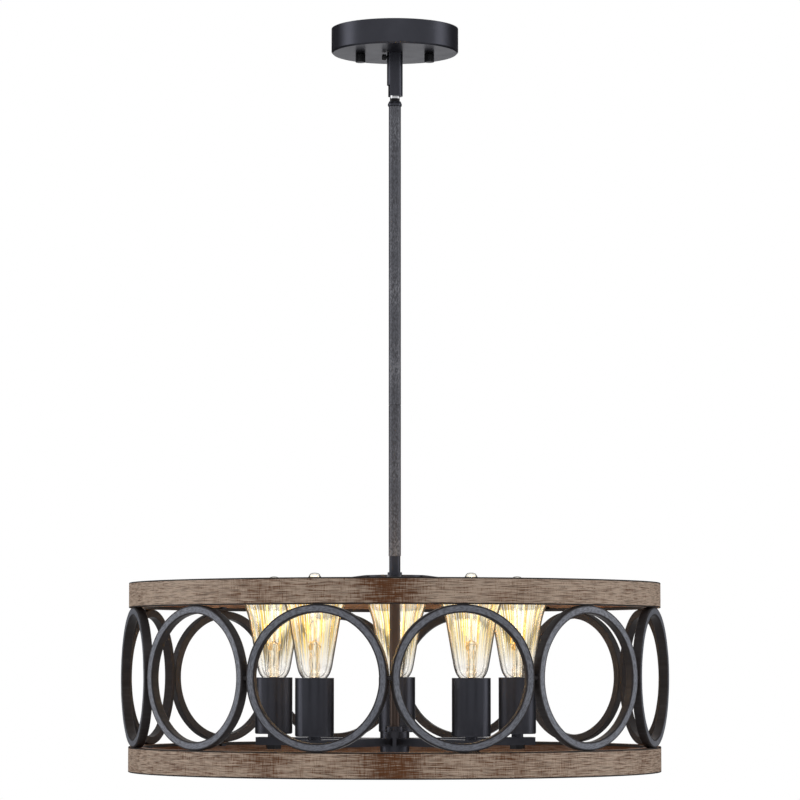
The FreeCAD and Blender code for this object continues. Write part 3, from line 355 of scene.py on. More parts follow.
class Value:
    """A number, colour or vector that changes over a surface. Arithmetic on a number adds Math nodes."""

    def __init__(self, nodes, socket):
        self.nodes = nodes
        self.socket = socket

    def maths(self, operation, first, second=0.0):
        return self.nodes.add("ShaderNodeMath", {"operation": operation}, {0: first, 1: second})

    def __add__(self, other):
        return self.maths("ADD", self, other)

    def __radd__(self, other):
        return self.maths("ADD", other, self)

    def __sub__(self, other):
        return self.maths("SUBTRACT", self, other)

    def __rsub__(self, other):
        return self.maths("SUBTRACT", other, self)

    def __mul__(self, other):
        return self.maths("MULTIPLY", self, other)

    def __rmul__(self, other):
        return self.maths("MULTIPLY", other, self)

    def __pow__(self, other):
        return self.maths("POWER", self, other)

    def larger(self, other):
        return self.maths("MAXIMUM", self, other)

    def sine(self):
        return self.maths("SINE", self)

    def cosine(self):
        return self.maths("COSINE", self)

    def bearing(self, other):
        """The bearing of a place that lies this far ahead and the other number across."""
        return self.maths("ARCTAN2", self, other)


class Nodes:
    """The node tree of one material or of the world."""

    def __init__(self, tree):
        self.tree = tree
        tree.nodes.clear()

    def add(self, kind, settings=None, sockets=None, output=0):
        """Adds a node, sets its settings and then its sockets' values or links, and gives one output."""
        node = self.tree.nodes.new(kind)
        for name, setting in (settings or {}).items():
            setattr(node, name, setting)
        for name, value in (sockets or {}).items():
            socket = self.pick(node.inputs, name)
            if isinstance(value, Value):
                self.tree.links.new(value.socket, socket)
            else:
                socket.default_value = self.fitted(value, socket)
        return Value(self, self.pick(node.outputs, output)) if node.outputs else None

    @staticmethod
    def pick(sockets, key):
        if isinstance(key, int):
            return sockets[key]
        return next(socket for socket in sockets if key in (socket.identifier, socket.name))

    @staticmethod
    def fitted(value, socket):
        """A colour of three numbers gets its fourth."""
        if socket.type == "RGBA" and len(value) == 3:
            return (*value, 1.0)
        return value

    def vector(self, operation, first, second=(0.0, 0.0, 0.0), output=0):
        return self.add("ShaderNodeVectorMath", {"operation": operation}, {0: first, 1: second}, output)

    def axis(self, vector, name):
        """One of a vector's three numbers: X, Y or Z."""
        return self.add("ShaderNodeSeparateXYZ", None, {"Vector": vector}, name)

    def place(self):
        """Places on the piece, in metres."""
        return self.add("ShaderNodeTexCoord", output="Object")

    def marks(self, where, level, upright, detail=2.0, rough=0.5):
        """Noise with marks of one size along the places' X and Y and of another along their Z."""
        scaled = self.vector("DIVIDE", where, (level, level, upright))
        sockets = {"Vector": scaled, "Scale": 1.0, "Detail": detail, "Roughness": rough}
        return self.add("ShaderNodeTexNoise", None, sockets, "Fac")

    def specks(self, size, detail=2.0):
        """Noise with marks of one size, in metres."""
        return self.marks(self.place(), size, size, detail)

    def between(self, value, low, high):
        """0 below low, 1 above high and a soft step between them. With low above high it steps down."""
        settings = {"interpolation_type": "SMOOTHSTEP"}
        return self.add("ShaderNodeMapRange", settings, {"Value": value, "From Min": low, "From Max": high})

    def band(self, value, rise, fall):
        """1 from the end of the rise to the start of the fall, 0 outside them and soft steps between."""
        return self.between(value, rise[0], rise[1]) * self.between(value, fall[1], fall[0])

    def blend(self, factor, first, second):
        """The first colour where the factor is 0 and the second where it is 1."""
        sockets = {"Factor_Float": factor, "A_Color": first, "B_Color": second}
        return self.add("ShaderNodeMix", {"data_type": "RGBA"}, sockets, "Result_Color")

    def bump(self, height, distance, strength=1.0):
        sockets = {"Strength": strength, "Distance": distance, "Height": height}
        return self.add("ShaderNodeBump", None, sockets, "Normal")

    def mark(self, name, output="Fac"):
        """What a turned mesh carries at its points.

        edge is 1 on its round edges, face is 1 on a ring's outer face, and way is the way round a ring.
        """
        return self.add("ShaderNodeAttribute", {"attribute_name": name}, None, output)

    def shown(self):
        """1 for what the camera sees, also by reflection or through glass, and 0 for other light."""
        seen, mirrored, through = (self.add("ShaderNodeLightPath", None, None, f"Is {ray} Ray")
                                   for ray in ("Camera", "Glossy", "Transmission"))
        return seen.larger(mirrored).larger(through)

    def surface(self, **sockets):
        """The material's one shader."""
        named = {name.replace("_", " "): value for name, value in sockets.items()}
        shader = self.add("ShaderNodeBsdfPrincipled", None, named, "BSDF")
        self.add("ShaderNodeOutputMaterial", None, {"Surface": shader})


def finish(name):
    """A new material and its nodes."""
    material = bpy.data.materials.new(name)
    material.use_nodes = True
    return material, Nodes(material.node_tree)


def black_paint(paint, name, coat, thin_coat):
    """Satin black coat with a faint metallic sheen and a fine orange-peel surface."""
    material, nodes = finish(name)
    thin = nodes.specks(paint.thin_place, 3.0)
    peel = nodes.specks(paint.peel)
    nodes.surface(Base_Color=nodes.blend(thin, coat, thin_coat), Metallic=paint.black_metal,
                  Roughness=paint.black_rough + 0.12 * thin, Specular_IOR_Level=0.1,
                  Specular_Tint=paint.sheen, Normal=nodes.bump(peel, paint.peel_deep, 0.25))
    return material


def iron_paint(nodes, paint, rub, amount, palest, metal):
    """Dark ground with a bluish grey rubbed over it, in the marks and the amount given."""
    brown = nodes.specks(paint.brown_place)
    grit = nodes.specks(paint.grit, 3.0)
    cover = (0.5 + 0.5 * nodes.between(rub, 0.35, 0.62)) * amount
    ground = nodes.blend(brown, paint.iron, paint.iron_brown)
    rubbed = nodes.blend(cover, ground, paint.iron_rubbed)
    most = nodes.between(0.5 * brown + 0.5 * rub, 0.5, 0.68) * cover
    nodes.surface(Base_Color=nodes.blend(palest * most, rubbed, paint.iron_pale), Metallic=metal,
                  Roughness=paint.iron_rough + 0.18 * rub, Specular_IOR_Level=0.15,
                  Specular_Tint=paint.sheen, Normal=nodes.bump(grit + 0.5 * rub, paint.grit_deep, 0.3))


def rod_iron(paint):
    """Paint of the rods, rubbed all over in short marks."""
    material, nodes = finish("rod_iron")
    rub = nodes.marks(nodes.place(), paint.rub_wide, paint.rub_long, 3.0, 0.6)
    iron_paint(nodes, paint, rub, paint.rod_rub, paint.rod_pale, paint.rod_metal)
    return material


def ring_iron(paint, ring):
    """Paint of the rings, rubbed round their outer faces and hardly at all on their walls and inner faces:
    partly a rubbed finish and partly painted shade, which keeps the sides turned into the drum dark.
    """
    material, nodes = finish("ring_iron")
    rub = nodes.marks(nodes.mark("way", "Vector"), ring.rub_turn, ring.rub_wide, 3.0, 0.6)
    # Painted shade in part: only the outer face gets the full grey, and the walls and inner face stay dark.
    amount = paint.ring_rub + (1.0 - paint.ring_rub) * nodes.mark("face")
    iron_paint(nodes, paint, rub, amount, paint.ring_pale, paint.ring_metal)
    return material


def wood_finish(hoop):
    """Wood grain brushed on along the hoop: pale fibres on brown, saw marks and dark pores, with dark rims
    along the edges that are painted shade.

    Above and below the joints of the rings the hoop has less of the pale coat, most of all in a few
    stretches of the hoop,
    one of them in front: painted shade, for the front of the hoop lying darker than its sides. Inside the
    hoop it is darker and browner all over.
    """
    material, nodes = finish("wood_grain")
    where = nodes.place()
    across, ahead, up = (nodes.axis(where, name) for name in "XYZ")
    reach = nodes.vector("LENGTH", nodes.vector("MULTIPLY", where, (1.0, 1.0, 0.0)), output="Value")
    section = nodes.add("ShaderNodeCombineXYZ", None, {"X": across, "Y": ahead, "Z": up + reach})
    fibre = nodes.marks(section, hoop.fibre_long, hoop.fibre_thick, 2.0, 0.6)
    short = nodes.marks(section, hoop.short_long, hoop.short_thick, 1.0)
    pores = nodes.marks(section, hoop.pore_long, hoop.pore_thick)
    saw = nodes.marks(section, hoop.saw_wide, hoop.saw_tall, 1.0)
    rim_break = nodes.marks(section, hoop.rim_break_long, hoop.rim_break_tall, 3.0)
    cloud = nodes.marks(where, hoop.cloud_long, hoop.cloud_tall)
    bearing = ahead.bearing(across)
    # Painted shade: less of the pale coat at the ring joints within a few stretches, one in front, so the
    # front of the hoop lies darker than its sides.
    at_joint = 0.5 + 0.5 * (len(RINGS) * bearing).cosine()
    in_shaded_stretch = 0.5 + 0.5 * (hoop.stretches * bearing).sine()
    thin = at_joint ** 2 * in_shaded_stretch ** 2
    upper_low, upper_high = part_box("upper_band")
    lower_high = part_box("lower_band")[1]
    # Darker and browner inside the hoop, with less of the pale coat there.
    inside = nodes.between(reach, upper_high.x - 0.5 * hoop.wall, upper_high.x - hoop.wall)
    upper = hoop.upper_coat * nodes.between(up, lower_high.z, upper_low.z)
    coat = 0.7 * fibre + 0.8 * short + 0.25 * cloud + 0.5 * saw - hoop.stretch_shade * thin + upper
    pale = nodes.between(coat, 0.79, 1.31) * (1.0 - (1.0 - hoop.inside_coat) * inside)
    dark = 0.6 * nodes.between(pores + 0.25 * saw, 0.64, 0.78)
    grain = nodes.blend(dark, nodes.blend(pale, hoop.brown, hoop.pale), hoop.dark)
    # Painted shade: a dark line along the hoop's round edges, broken unevenly.
    rims = nodes.between(nodes.mark("edge") + 0.3 * rim_break, 0.25, 0.75)
    nodes.surface(Base_Color=nodes.blend(rims, grain, hoop.rim), Roughness=hoop.rough + 0.2 * fibre,
                  Specular_IOR_Level=0.2, Normal=nodes.bump(fibre + 0.5 * pores, hoop.grain_deep, 0.45))
    return material


def plated(paint, name, bright, dull, base_roughness):
    """Bare or plated metal with dull places and fine scratches."""
    material, nodes = finish(name)
    cloud = nodes.specks(paint.dull_place, 4.0)
    scratch = nodes.marks(nodes.place(), paint.scratch_long, paint.scratch_wide)
    tone = nodes.blend(nodes.between(cloud, 0.42, 0.68), bright, dull)
    nodes.surface(Base_Color=tone, Metallic=1.0, Roughness=base_roughness + 0.2 * cloud,
                  Normal=nodes.bump(scratch, paint.scratch_deep, 0.3))
    return material


def blackened(paint):
    """A blackened ball and tail with a bright band on the neck between them."""
    material, nodes = finish("blackened_ball")
    stain = nodes.specks(paint.stain, 3.0)
    foot = (paint.neck_foot - paint.neck_fade, paint.neck_foot + paint.neck_fade)
    top = (paint.neck_top - paint.neck_fade, paint.neck_top + paint.neck_fade)
    neck = nodes.band(nodes.axis(nodes.place(), "Z"), foot, top)
    bright = nodes.blend(stain, paint.zinc, paint.zinc_dull)
    nodes.surface(Base_Color=nodes.blend(neck, paint.iron, bright), Metallic=1.0,
                  Roughness=0.22 + 0.2 * stain, Normal=nodes.bump(stain, paint.stain_deep, 0.3))
    return material


def moulded(paint):
    """Dark moulded insulator."""
    material, nodes = finish("moulded_insulator")
    speck = nodes.specks(paint.speck, 3.0)
    black = nodes.blend(speck, paint.insulator, paint.black_thin)
    nodes.surface(Base_Color=black, Roughness=0.5 + 0.2 * speck,
                  Normal=nodes.bump(speck, paint.speck_deep, 0.3))
    return material


def blown_glass(nodes, bulb, tint, painted_outline_tint, ripple, painted_glow=BLACK, wider=0.0):
    """Clear glass with a painted dark line, and a faint second one, where it is seen along its wall: painted
    shade for dark surroundings refracted at its edge.
    """
    along = nodes.add("ShaderNodeLayerWeight", None, {"Blend": 0.5}, "Facing")
    outline = nodes.between(along + wider, bulb.line_inner, bulb.line_outer)
    second = nodes.band(along, (0.27, 0.31), (0.33, 0.37))
    # The glass gives off the painted glow as emission.
    wall = {"Base Color": tint, "Roughness": 0.0, "IOR": 1.45, "Specular IOR Level": 0.3,
            "Transmission Weight": 1.0, "Normal": ripple, "Emission Color": painted_glow,
            "Emission Strength": bulb.painted_glow_strength}
    clear = nodes.add("ShaderNodeBsdfPrincipled", None, wall, "BSDF")
    edge = {"Base Color": painted_outline_tint, "Roughness": 0.4, "Specular IOR Level": 0.1}
    line = nodes.add("ShaderNodeBsdfPrincipled", None, edge, "BSDF")
    both = nodes.add("ShaderNodeMixShader", None, {0: 0.95 * outline + 0.3 * second, 1: clear, 2: line})
    nodes.add("ShaderNodeOutputMaterial", None, {"Surface": both})


def bulb_glass(bulb):
    """Clear blown glass with upright streaks: painted amber reflections of the filament's light and painted
    dark streaks.

    Heights are shares of the glass's own height. The painted light is strongest beside the filament, where
    the glass gives off a painted glow for the filament's glare, and the dome above it is clear and smooth.
    """
    material, nodes = finish("bulb_glass")
    point = nodes.add("ShaderNodeTexCoord", output="Generated")
    height = nodes.axis(point, "Z")
    aside = nodes.vector("MULTIPLY", nodes.vector("SUBTRACT", point, (0.5, 0.5, 0.0)), (1.0, 1.0, 0.0))
    way = nodes.vector("NORMALIZE", aside)
    fine = nodes.marks(way, bulb.streak, bulb.streak, 1.0)
    group = nodes.marks(way, bulb.streak_group, bulb.streak_group, 1.0)
    lit = nodes.band(height, (0.25, 0.55), (0.85, 0.95))
    beside = nodes.band(height, (0.35, 0.70), (0.86, 0.93))
    head = nodes.between(height, 0.56, 0.70)
    dome = nodes.between(height, 0.90, 0.95)
    below_dome = nodes.between(height, 0.94, 0.80)
    # Painted reflections: amber and dark streaks, strongest in the lit band.
    amber = nodes.between(fine + 0.35 * group, 0.73, 0.79) * (0.06 + 0.90 * lit)
    painted_dark_streak = nodes.between(fine - 0.2 * group, 0.31, 0.26) * (0.1 + 0.55 * lit)
    clear = nodes.blend(lit, bulb.clear, bulb.lit)
    tint = nodes.blend(painted_dark_streak, nodes.blend(amber, clear, bulb.amber), bulb.painted_dark_streak)
    # Painted glow: the glass gives off light of its own, fainter low beside the filament and stronger
    # further up, standing in for the filament's glare.
    light = nodes.blend(head, nodes.blend(lit, BLACK, bulb.painted_glow), bulb.painted_glare)
    painted_glow = nodes.blend(painted_dark_streak, nodes.blend(amber, light, bulb.painted_streak_glow), BLACK)
    # Painted outline: dark low on the bulb, and warmer, as painted light, beside the filament.
    painted_outline_tint = nodes.blend(beside, bulb.line, bulb.painted_lit_outline)
    ripple = nodes.bump(fine * below_dome, bulb.streak_deep, 0.12)
    blown_glass(nodes, bulb, tint, painted_outline_tint, ripple, painted_glow, wider=0.16 * dome)
    return material


def stem_glass(bulb):
    """Clear glass of the stem and post, with faint draw lines tinted by painted amber light, and a painted
    outline.
    """
    material, nodes = finish("stem_glass")
    drawn = nodes.marks(nodes.place(), bulb.draw_wide, bulb.draw_long)
    tint = nodes.blend(0.4 * drawn, bulb.clear, bulb.amber)
    blown_glass(nodes, bulb, tint, bulb.painted_stem_outline, nodes.bump(drawn, bulb.draw_deep, 0.3))
    return material


def glowing(bulb):
    """Hot wire, paler where it is hottest."""
    material, nodes = finish("filament_glow")
    hot = nodes.between(nodes.specks(bulb.hot_place), 0.35, 0.65)
    nodes.surface(Base_Color=bulb.metal, Roughness=0.5, Emission_Strength=bulb.strength,
                  Emission_Color=nodes.blend(hot, bulb.glow, bulb.glow_pale))
    return material


def rounded(corners, radius, steps=4):
    """A closed outline with round corners, as (x, y, edge).

    edge is 1 on a rounding, and falls to 0 on the flats beside it over EDGE_FADE.
    """
    outline = []
    for index, corner in enumerate(corners):
        here = Vector(corner)
        before = Vector(corners[index - 1]) - here
        after = Vector(corners[(index + 1) % len(corners)]) - here
        half = before.angle(after) / 2
        reach = radius / math.tan(half)
        centre = here + (before.normalized() + after.normalized()).normalized() * (radius / math.sin(half))
        start = here + before.normalized() * reach
        stop = here + after.normalized() * reach
        if before.length > 2 * (reach + EDGE_FADE):
            outline.append((*(start + before.normalized() * EDGE_FADE), 0.0))
        for step in range(steps + 1):
            spoke = (start - centre).normalized().slerp((stop - centre).normalized(), step / steps)
            outline.append((*(centre + spoke * radius), 1.0))
        if after.length > 2 * (reach + EDGE_FADE):
            outline.append((*(stop + after.normalized() * EDGE_FADE), 0.0))
    return outline


def turned(name, outline, steps, ridge=0.0):
    """Turns a closed outline of (radius, height, edge) about the upright axis into a mesh.

    With a ridge, every second step is set in by it along the widest part, which makes knurling.
    """
    shape = bmesh.new()
    edge = shape.verts.layers.float.new("edge")
    widest = max(radius for radius, height, level in outline) - ridge
    columns = []
    for step in range(steps):
        turn = 2 * math.pi * step / steps
        column = []
        for radius, height, level in outline:
            reach = min(radius, widest) if step % 2 else radius
            vert = shape.verts.new((reach * math.cos(turn), reach * math.sin(turn), height))
            vert[edge] = level
            column.append(vert)
        columns.append(column)
    for step, column in enumerate(columns):
        after = columns[(step + 1) % steps]
        for index, vert in enumerate(column):
            above = (index + 1) % len(column)
            shape.faces.new((vert, after[index], after[above], column[above]))
    bmesh.ops.remove_doubles(shape, verts=shape.verts, dist=SAME_PLACE)
    bmesh.ops.recalc_face_normals(shape, faces=shape.faces)
    return finished_mesh(name, shape)


def finished_mesh(name, shape):
    """Turns an edited mesh into one that an object can hold."""
    mesh = bpy.data.meshes.new(name)
    shape.to_mesh(mesh)
    shape.free()
    return mesh


def dress(name, mesh, material, body, stands_for=(), sharp_degrees=35.0):
    """Puts a mesh in the scene as a piece that rides on a body."""
    mesh.shade_smooth()
    mesh.set_sharp_from_angle(angle=math.radians(sharp_degrees))
    mesh.materials.append(material)
    piece = bpy.data.objects.new(name, mesh)
    bpy.context.scene.collection.objects.link(piece)
    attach(piece, body)
    if stands_for:
        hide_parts(*stands_for)
    return piece


def paint_nodes(material, names):
    """Gives CAD nodes a finish."""
    for name in names:
        for slot in NODES[name].material_slots:
            slot.material = material


def middle_of(node):
    """The middle of a CAD node's box."""
    low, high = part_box(node)
    return (low + high) / 2


def facing(place, target):
    """The turn of a lamp or camera at a place that looks at a target."""
    return (target - place).to_track_quat("-Z", "Y").to_euler()


class CHANDELIER_OT_paint_metal(bpy.types.Operator):
    """Paints the pan, swivel, spider, hub, arms and sockets satin black and the rods dark iron"""

    bl_idname = "chandelier.paint_metal"
    bl_label = "Paint metal"

    def execute(self, context):
        paint = context.scene.chandelier_paint
        black = black_paint(paint, "satin_black", paint.black, paint.black_thin)
        paint_nodes(black, ("canopy_pan", "canopy_collar", "swivel_sleeve", "rod_ferrule", "stem_collar",
                            "top_spider", "hub_collar", "lamp_hub", "hub_cap", "lamp_arms",
                            "socket_spacers", "socket_covers", "spider_nut", "spider_screws", "ring_screws"))
        # The centre tube's brown is a painted reflection of the bulbs' warm light.
        paint_nodes(black_paint(paint, "tube_painted_warm_reflection", paint.tube, paint.tube_thin), ("centre_tube",))
        paint_nodes(rod_iron(paint), ("upper_rod", "lower_rod"))
        return {"FINISHED"}


class CHANDELIER_OT_plate_hardware(bpy.types.Operator):
    """Gives nuts, screws, brass and insulators their bare or plated finish"""

    bl_idname = "chandelier.plate_hardware"
    bl_label = "Plate hardware"

    def execute(self, context):
        paint = context.scene.chandelier_paint
        zinc = plated(paint, "bright_zinc", paint.zinc, paint.zinc_dull, paint.zinc_rough)
        paint_nodes(zinc, ("crossbar", "crossbar_studs", "collar_nut", "swivel_bolt", "swivel_bush",
                           "rod_nipple", "stem_nipple", "lamp_nipples"))
        paint_nodes(blackened(paint), ("swivel_ball",))
        green = plated(paint, "green_plate", paint.ground, paint.ground, paint.ground_rough)
        paint_nodes(green, ("ground_screw",))
        brass = plated(paint, "brass", paint.brass, paint.brass_dull, paint.brass_rough)
        paint_nodes(brass, ("screw_shells", "spring_contacts", *(f"{bulb}_cap" for bulb in BULBS)))
        paint_nodes(moulded(paint), ("lamp_holders",))
        return {"FINISHED"}


class CHANDELIER_OT_make_hoops(bpy.types.Operator):
    """Builds the two hoops with rounded edges and a wood-grain finish"""

    bl_idname = "chandelier.make_hoops"
    bl_label = "Make hoops"

    def execute(self, context):
        hoop = context.scene.chandelier_hoops
        grain = wood_finish(hoop)
        for node, flange_up in (("upper_band", False), ("lower_band", True)):
            low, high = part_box(node)
            outer = high.x
            inner = outer - hoop.wall
            lip = outer - hoop.flange
            rim, seat = (low.z, high.z) if flange_up else (high.z, low.z)
            step = seat + math.copysign(hoop.wall, rim - seat)
            section = [(lip, seat), (outer, seat), (outer, rim), (inner, rim), (inner, step), (lip, step)]
            mesh = turned(f"{node}_hoop", rounded(section, hoop.corner), hoop.steps)
            dress(f"{node}_hoop", mesh, grain, "drum", [node])
        return {"FINISHED"}


class CHANDELIER_OT_make_rings(bpy.types.Operator):
    """Builds the flat rings with rounded, slightly uneven edges"""

    bl_idname = "chandelier.make_rings"
    bl_label = "Make rings"

    def execute(self, context):
        ring = context.scene.chandelier_rings
        iron = ring_iron(context.scene.chandelier_paint, ring)
        noise.seed_set(ring.seed)
        for node in RINGS:
            low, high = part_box(node)
            outer = (high.z - low.z) / 2
            hole = outer - ring.face
            back = ring.depth / 2
            section = [(hole, -back), (outer, -back), (outer, back), (hole, back)]
            mesh = turned(f"{node}_iron", rounded(section, ring.corner), ring.steps)
            self.mark_faces(mesh, back - ring.corner / 2)
            centre = middle_of(node)
            outward = Vector((centre.x, centre.y, 0)).normalized()
            aim = outward.to_track_quat("Z", "Y").to_matrix().to_4x4()
            mesh.transform(Matrix.Translation(centre) @ aim)
            for vert in mesh.vertices:
                vert.co += ring.uneven * noise.noise_vector(vert.co / ring.wander)
            dress(f"{node}_iron", mesh, iron, "drum", [node])
        paint_nodes(iron, ("ring_pins",))
        return {"FINISHED"}

    @staticmethod
    def mark_faces(mesh, front):
        """Marks the outer face, where the grey is rubbed on, and gives each point its way round the ring."""
        faces = mesh.attributes.new("face", "FLOAT", "POINT")
        ways = mesh.attributes.new("way", "FLOAT_VECTOR", "POINT")
        edges = mesh.attributes["edge"]
        for vert in mesh.vertices:
            on_flat = edges.data[vert.index].value == 0.0
            faces.data[vert.index].value = float(on_flat and vert.co.z > front)
            reach = math.hypot(vert.co.x, vert.co.y)
            ways.data[vert.index].vector = (vert.co.x / reach, vert.co.y / reach, reach)


class CHANDELIER_OT_make_knobs(bpy.types.Operator):
    """Builds the knurled knob nuts under the pan and the thumb screw on the collar"""

    bl_idname = "chandelier.make_knobs"
    bl_label = "Make knobs"

    def execute(self, context):
        knob = context.scene.chandelier_knobs
        paint = context.scene.chandelier_paint
        black = black_paint(paint, "knob_black", paint.knob, paint.knob_thin)
        paint_nodes(black, ("arm_nuts",))
        self.make_thumb_screw(knob, black)
        for node in ("knob_left", "knob_right"):
            low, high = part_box(node)
            radius = (high.x - low.x) / 2
            tall = high.z - low.z
            blind = tall - knob.bore_depth
            section = [(0.0, 0.0), (radius, 0.0), (radius, tall), (knob.bore, tall), (knob.bore, blind),
                       (0.0, blind)]
            mesh = self.knurled(f"{node}_nut", knob, section, knob.ridges)
            centre = middle_of(node)
            mesh.transform(Matrix.Translation((centre.x, centre.y, low.z)))
            dress(f"{node}_nut", mesh, black, node, [node])
        return {"FINISHED"}

    @staticmethod
    def knurled(name, knob, section, ridges):
        """A turned piece with ridges along its widest part."""
        outline = rounded(section, knob.corner, steps=3)
        on_axis = [(max(radius, 0.0), height, edge) for radius, height, edge in outline]
        return turned(name, on_axis, 2 * ridges, knob.ridge)

    def make_thumb_screw(self, knob, black):
        """A knurled head on a plain shank, along the axis that the screw turns on."""
        turn = next(joint for joint in frame["joints"] if joint["child"] == "thumb_screw")
        start = knob.thumb_stand
        end = start + knob.thumb_length
        section = [(0.0, knob.thumb_tip), (knob.thumb_shank, knob.thumb_tip), (knob.thumb_shank, start),
                   (knob.thumb_head, start), (knob.thumb_head, end), (0.0, end)]
        mesh = self.knurled("thumb_screw_head", knob, section, knob.thumb_ridges)
        aim = Vector(turn["axis"]).to_track_quat("Z", "Y").to_matrix().to_4x4()
        mesh.transform(Matrix.Translation(turn["pos_m"]) @ aim)
        dress("thumb_screw_head", mesh, black, "thumb_screw", ["thumb_screw"])


class CHANDELIER_OT_make_bulbs(bpy.types.Operator):
    """Gives the bulbs their glass and builds the glass stem and the glowing cage filament of each"""

    bl_idname = "chandelier.make_bulbs"
    bl_label = "Make bulbs"

    def execute(self, context):
        bulb = context.scene.chandelier_bulbs
        glass = bulb_glass(bulb)
        clear = stem_glass(bulb)
        glow = glowing(bulb)
        leads = bpy.data.materials["brass"]
        for name in BULBS:
            envelope = NODES[f"{name}_glass"]
            paint_nodes(glass, (envelope.name,))
            envelope.visible_shadow = False
            middle = middle_of(envelope.name)
            foot = Vector((middle.x, middle.y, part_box(envelope.name)[0].z))
            self.make_stem(name, bulb, foot, clear)
            self.make_wire(name, "filament", self.filament(bulb), bulb.wire, foot, glow, "bulb_glass")
            self.make_wire(name, "supports", self.supports(bulb), bulb.lead, foot, leads, "brass")
            self.make_wire(name, "clamps", self.clamps(bulb), bulb.clamp, foot, leads, "brass")
            self.make_light(name, bulb, foot)
        return {"FINISHED"}

    @staticmethod
    def make_light(name, bulb, foot):
        """The light that the filament throws on its surroundings, which goes where the bulb goes."""
        lamp = bpy.data.lights.new(f"{name}_warmth", "POINT")
        lamp.energy = bulb.warm
        lamp.color = bulb.warmth
        lamp.shadow_soft_size = bulb.source
        light = bpy.data.objects.new(f"{name}_warmth", lamp)
        light.location = foot + Vector((0, 0, (bulb.cage_low + bulb.cage_high) / 2))
        light.visible_transmission = False
        bpy.context.scene.collection.objects.link(light)
        light.parent = bpy.data.objects[f"{name}_filament"]

    @staticmethod
    def make_stem(name, bulb, foot, clear):
        """The flared glass stem with the press on top, and the thin post with its bead."""
        press_low = bulb.cage_low - bulb.press_tall
        bead_low = bulb.cage_high - bulb.bead_tall
        outline = [
            (0.0, bulb.stem_low), (bulb.stem_foot, bulb.stem_low), (bulb.flare, bulb.flare_high),
            (bulb.stem, bulb.stem_neck), (bulb.stem, press_low),
            (bulb.press, press_low + 0.6 * bulb.press_tall), (bulb.press_top, bulb.cage_low),
            (bulb.post, bulb.cage_low + 0.2 * bulb.press_tall), (bulb.post, bead_low),
            (bulb.bead, bead_low + 0.5 * bulb.bead_tall), (bulb.bead_top, bulb.cage_high),
            (0.0, bulb.cage_high),
        ]
        mesh = turned(f"{name}_stem", [(radius, height, 0.0) for radius, height in outline], bulb.stem_steps)
        mesh.transform(Matrix.Translation(foot))
        stem = dress(f"{name}_stem", mesh, clear, name, sharp_degrees=60.0)
        stem.visible_shadow = False

    @staticmethod
    def filament(bulb):
        """One wire up and down round the cage."""
        low_end = (bulb.cage_foot, bulb.cage_low)
        high_end = (bulb.cage_head, bulb.cage_high)
        line = []
        for strand in range(bulb.strands):
            turn = 2 * math.pi * (strand + 0.5) / bulb.strands
            for radius, height in (high_end, low_end) if strand % 2 else (low_end, high_end):
                line.append((radius * math.cos(turn), radius * math.sin(turn), height))
        return [line]

    @staticmethod
    def supports(bulb):
        """Fine wires to each turn, from the post above and from the press below, and two leads."""
        lines = []
        for strand in range(bulb.strands):
            turn = 2 * math.pi * (strand + 1) / bulb.strands
            way = Vector((math.cos(turn), math.sin(turn), 0))
            if strand % 2:
                radius, height, root = bulb.cage_foot, bulb.cage_low, bulb.cage_low - bulb.lead_root
            else:
                radius, height, root = bulb.cage_head, bulb.cage_high, bulb.cage_high - bulb.lead_drop
            lines.append([way * bulb.post + Vector((0, 0, root)), way * radius + Vector((0, 0, height))])
        for across in (-bulb.lead_apart, bulb.lead_apart):
            lines.append([(across, 0, bulb.lead_low), (across, 0, bulb.cage_low - bulb.lead_root)])
        return lines

    @staticmethod
    def clamps(bulb):
        """Short clamps on the press, one under each turn at the filament's foot."""
        lines = []
        for strand in range(1, bulb.strands, 2):
            turn = 2 * math.pi * (strand + 1) / bulb.strands
            aside = bulb.clamp_apart * Vector((math.cos(turn), math.sin(turn), 0))
            top = aside + Vector((0, 0, bulb.cage_low))
            lines.append([top - Vector((0, 0, bulb.clamp_long)), top])
        return lines

    @staticmethod
    def make_wire(name, part, lines, radius, foot, material, slot):
        """Round wire along each line."""
        wire = bpy.data.curves.new(f"{name}_{part}", "CURVE")
        wire.dimensions = "3D"
        wire.bevel_depth = radius
        wire.bevel_resolution = 2
        wire.use_fill_caps = True
        for line in lines:
            spline = wire.splines.new("POLY")
            spline.points.add(len(line) - 1)
            for point, place in zip(spline.points, line):
                point.co = (*(Vector(place) + foot), 1.0)
        wire.materials.append(material)
        piece = bpy.data.objects.new(f"{name}_{part}", wire)
        bpy.context.scene.collection.objects.link(piece)
        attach(piece, name)


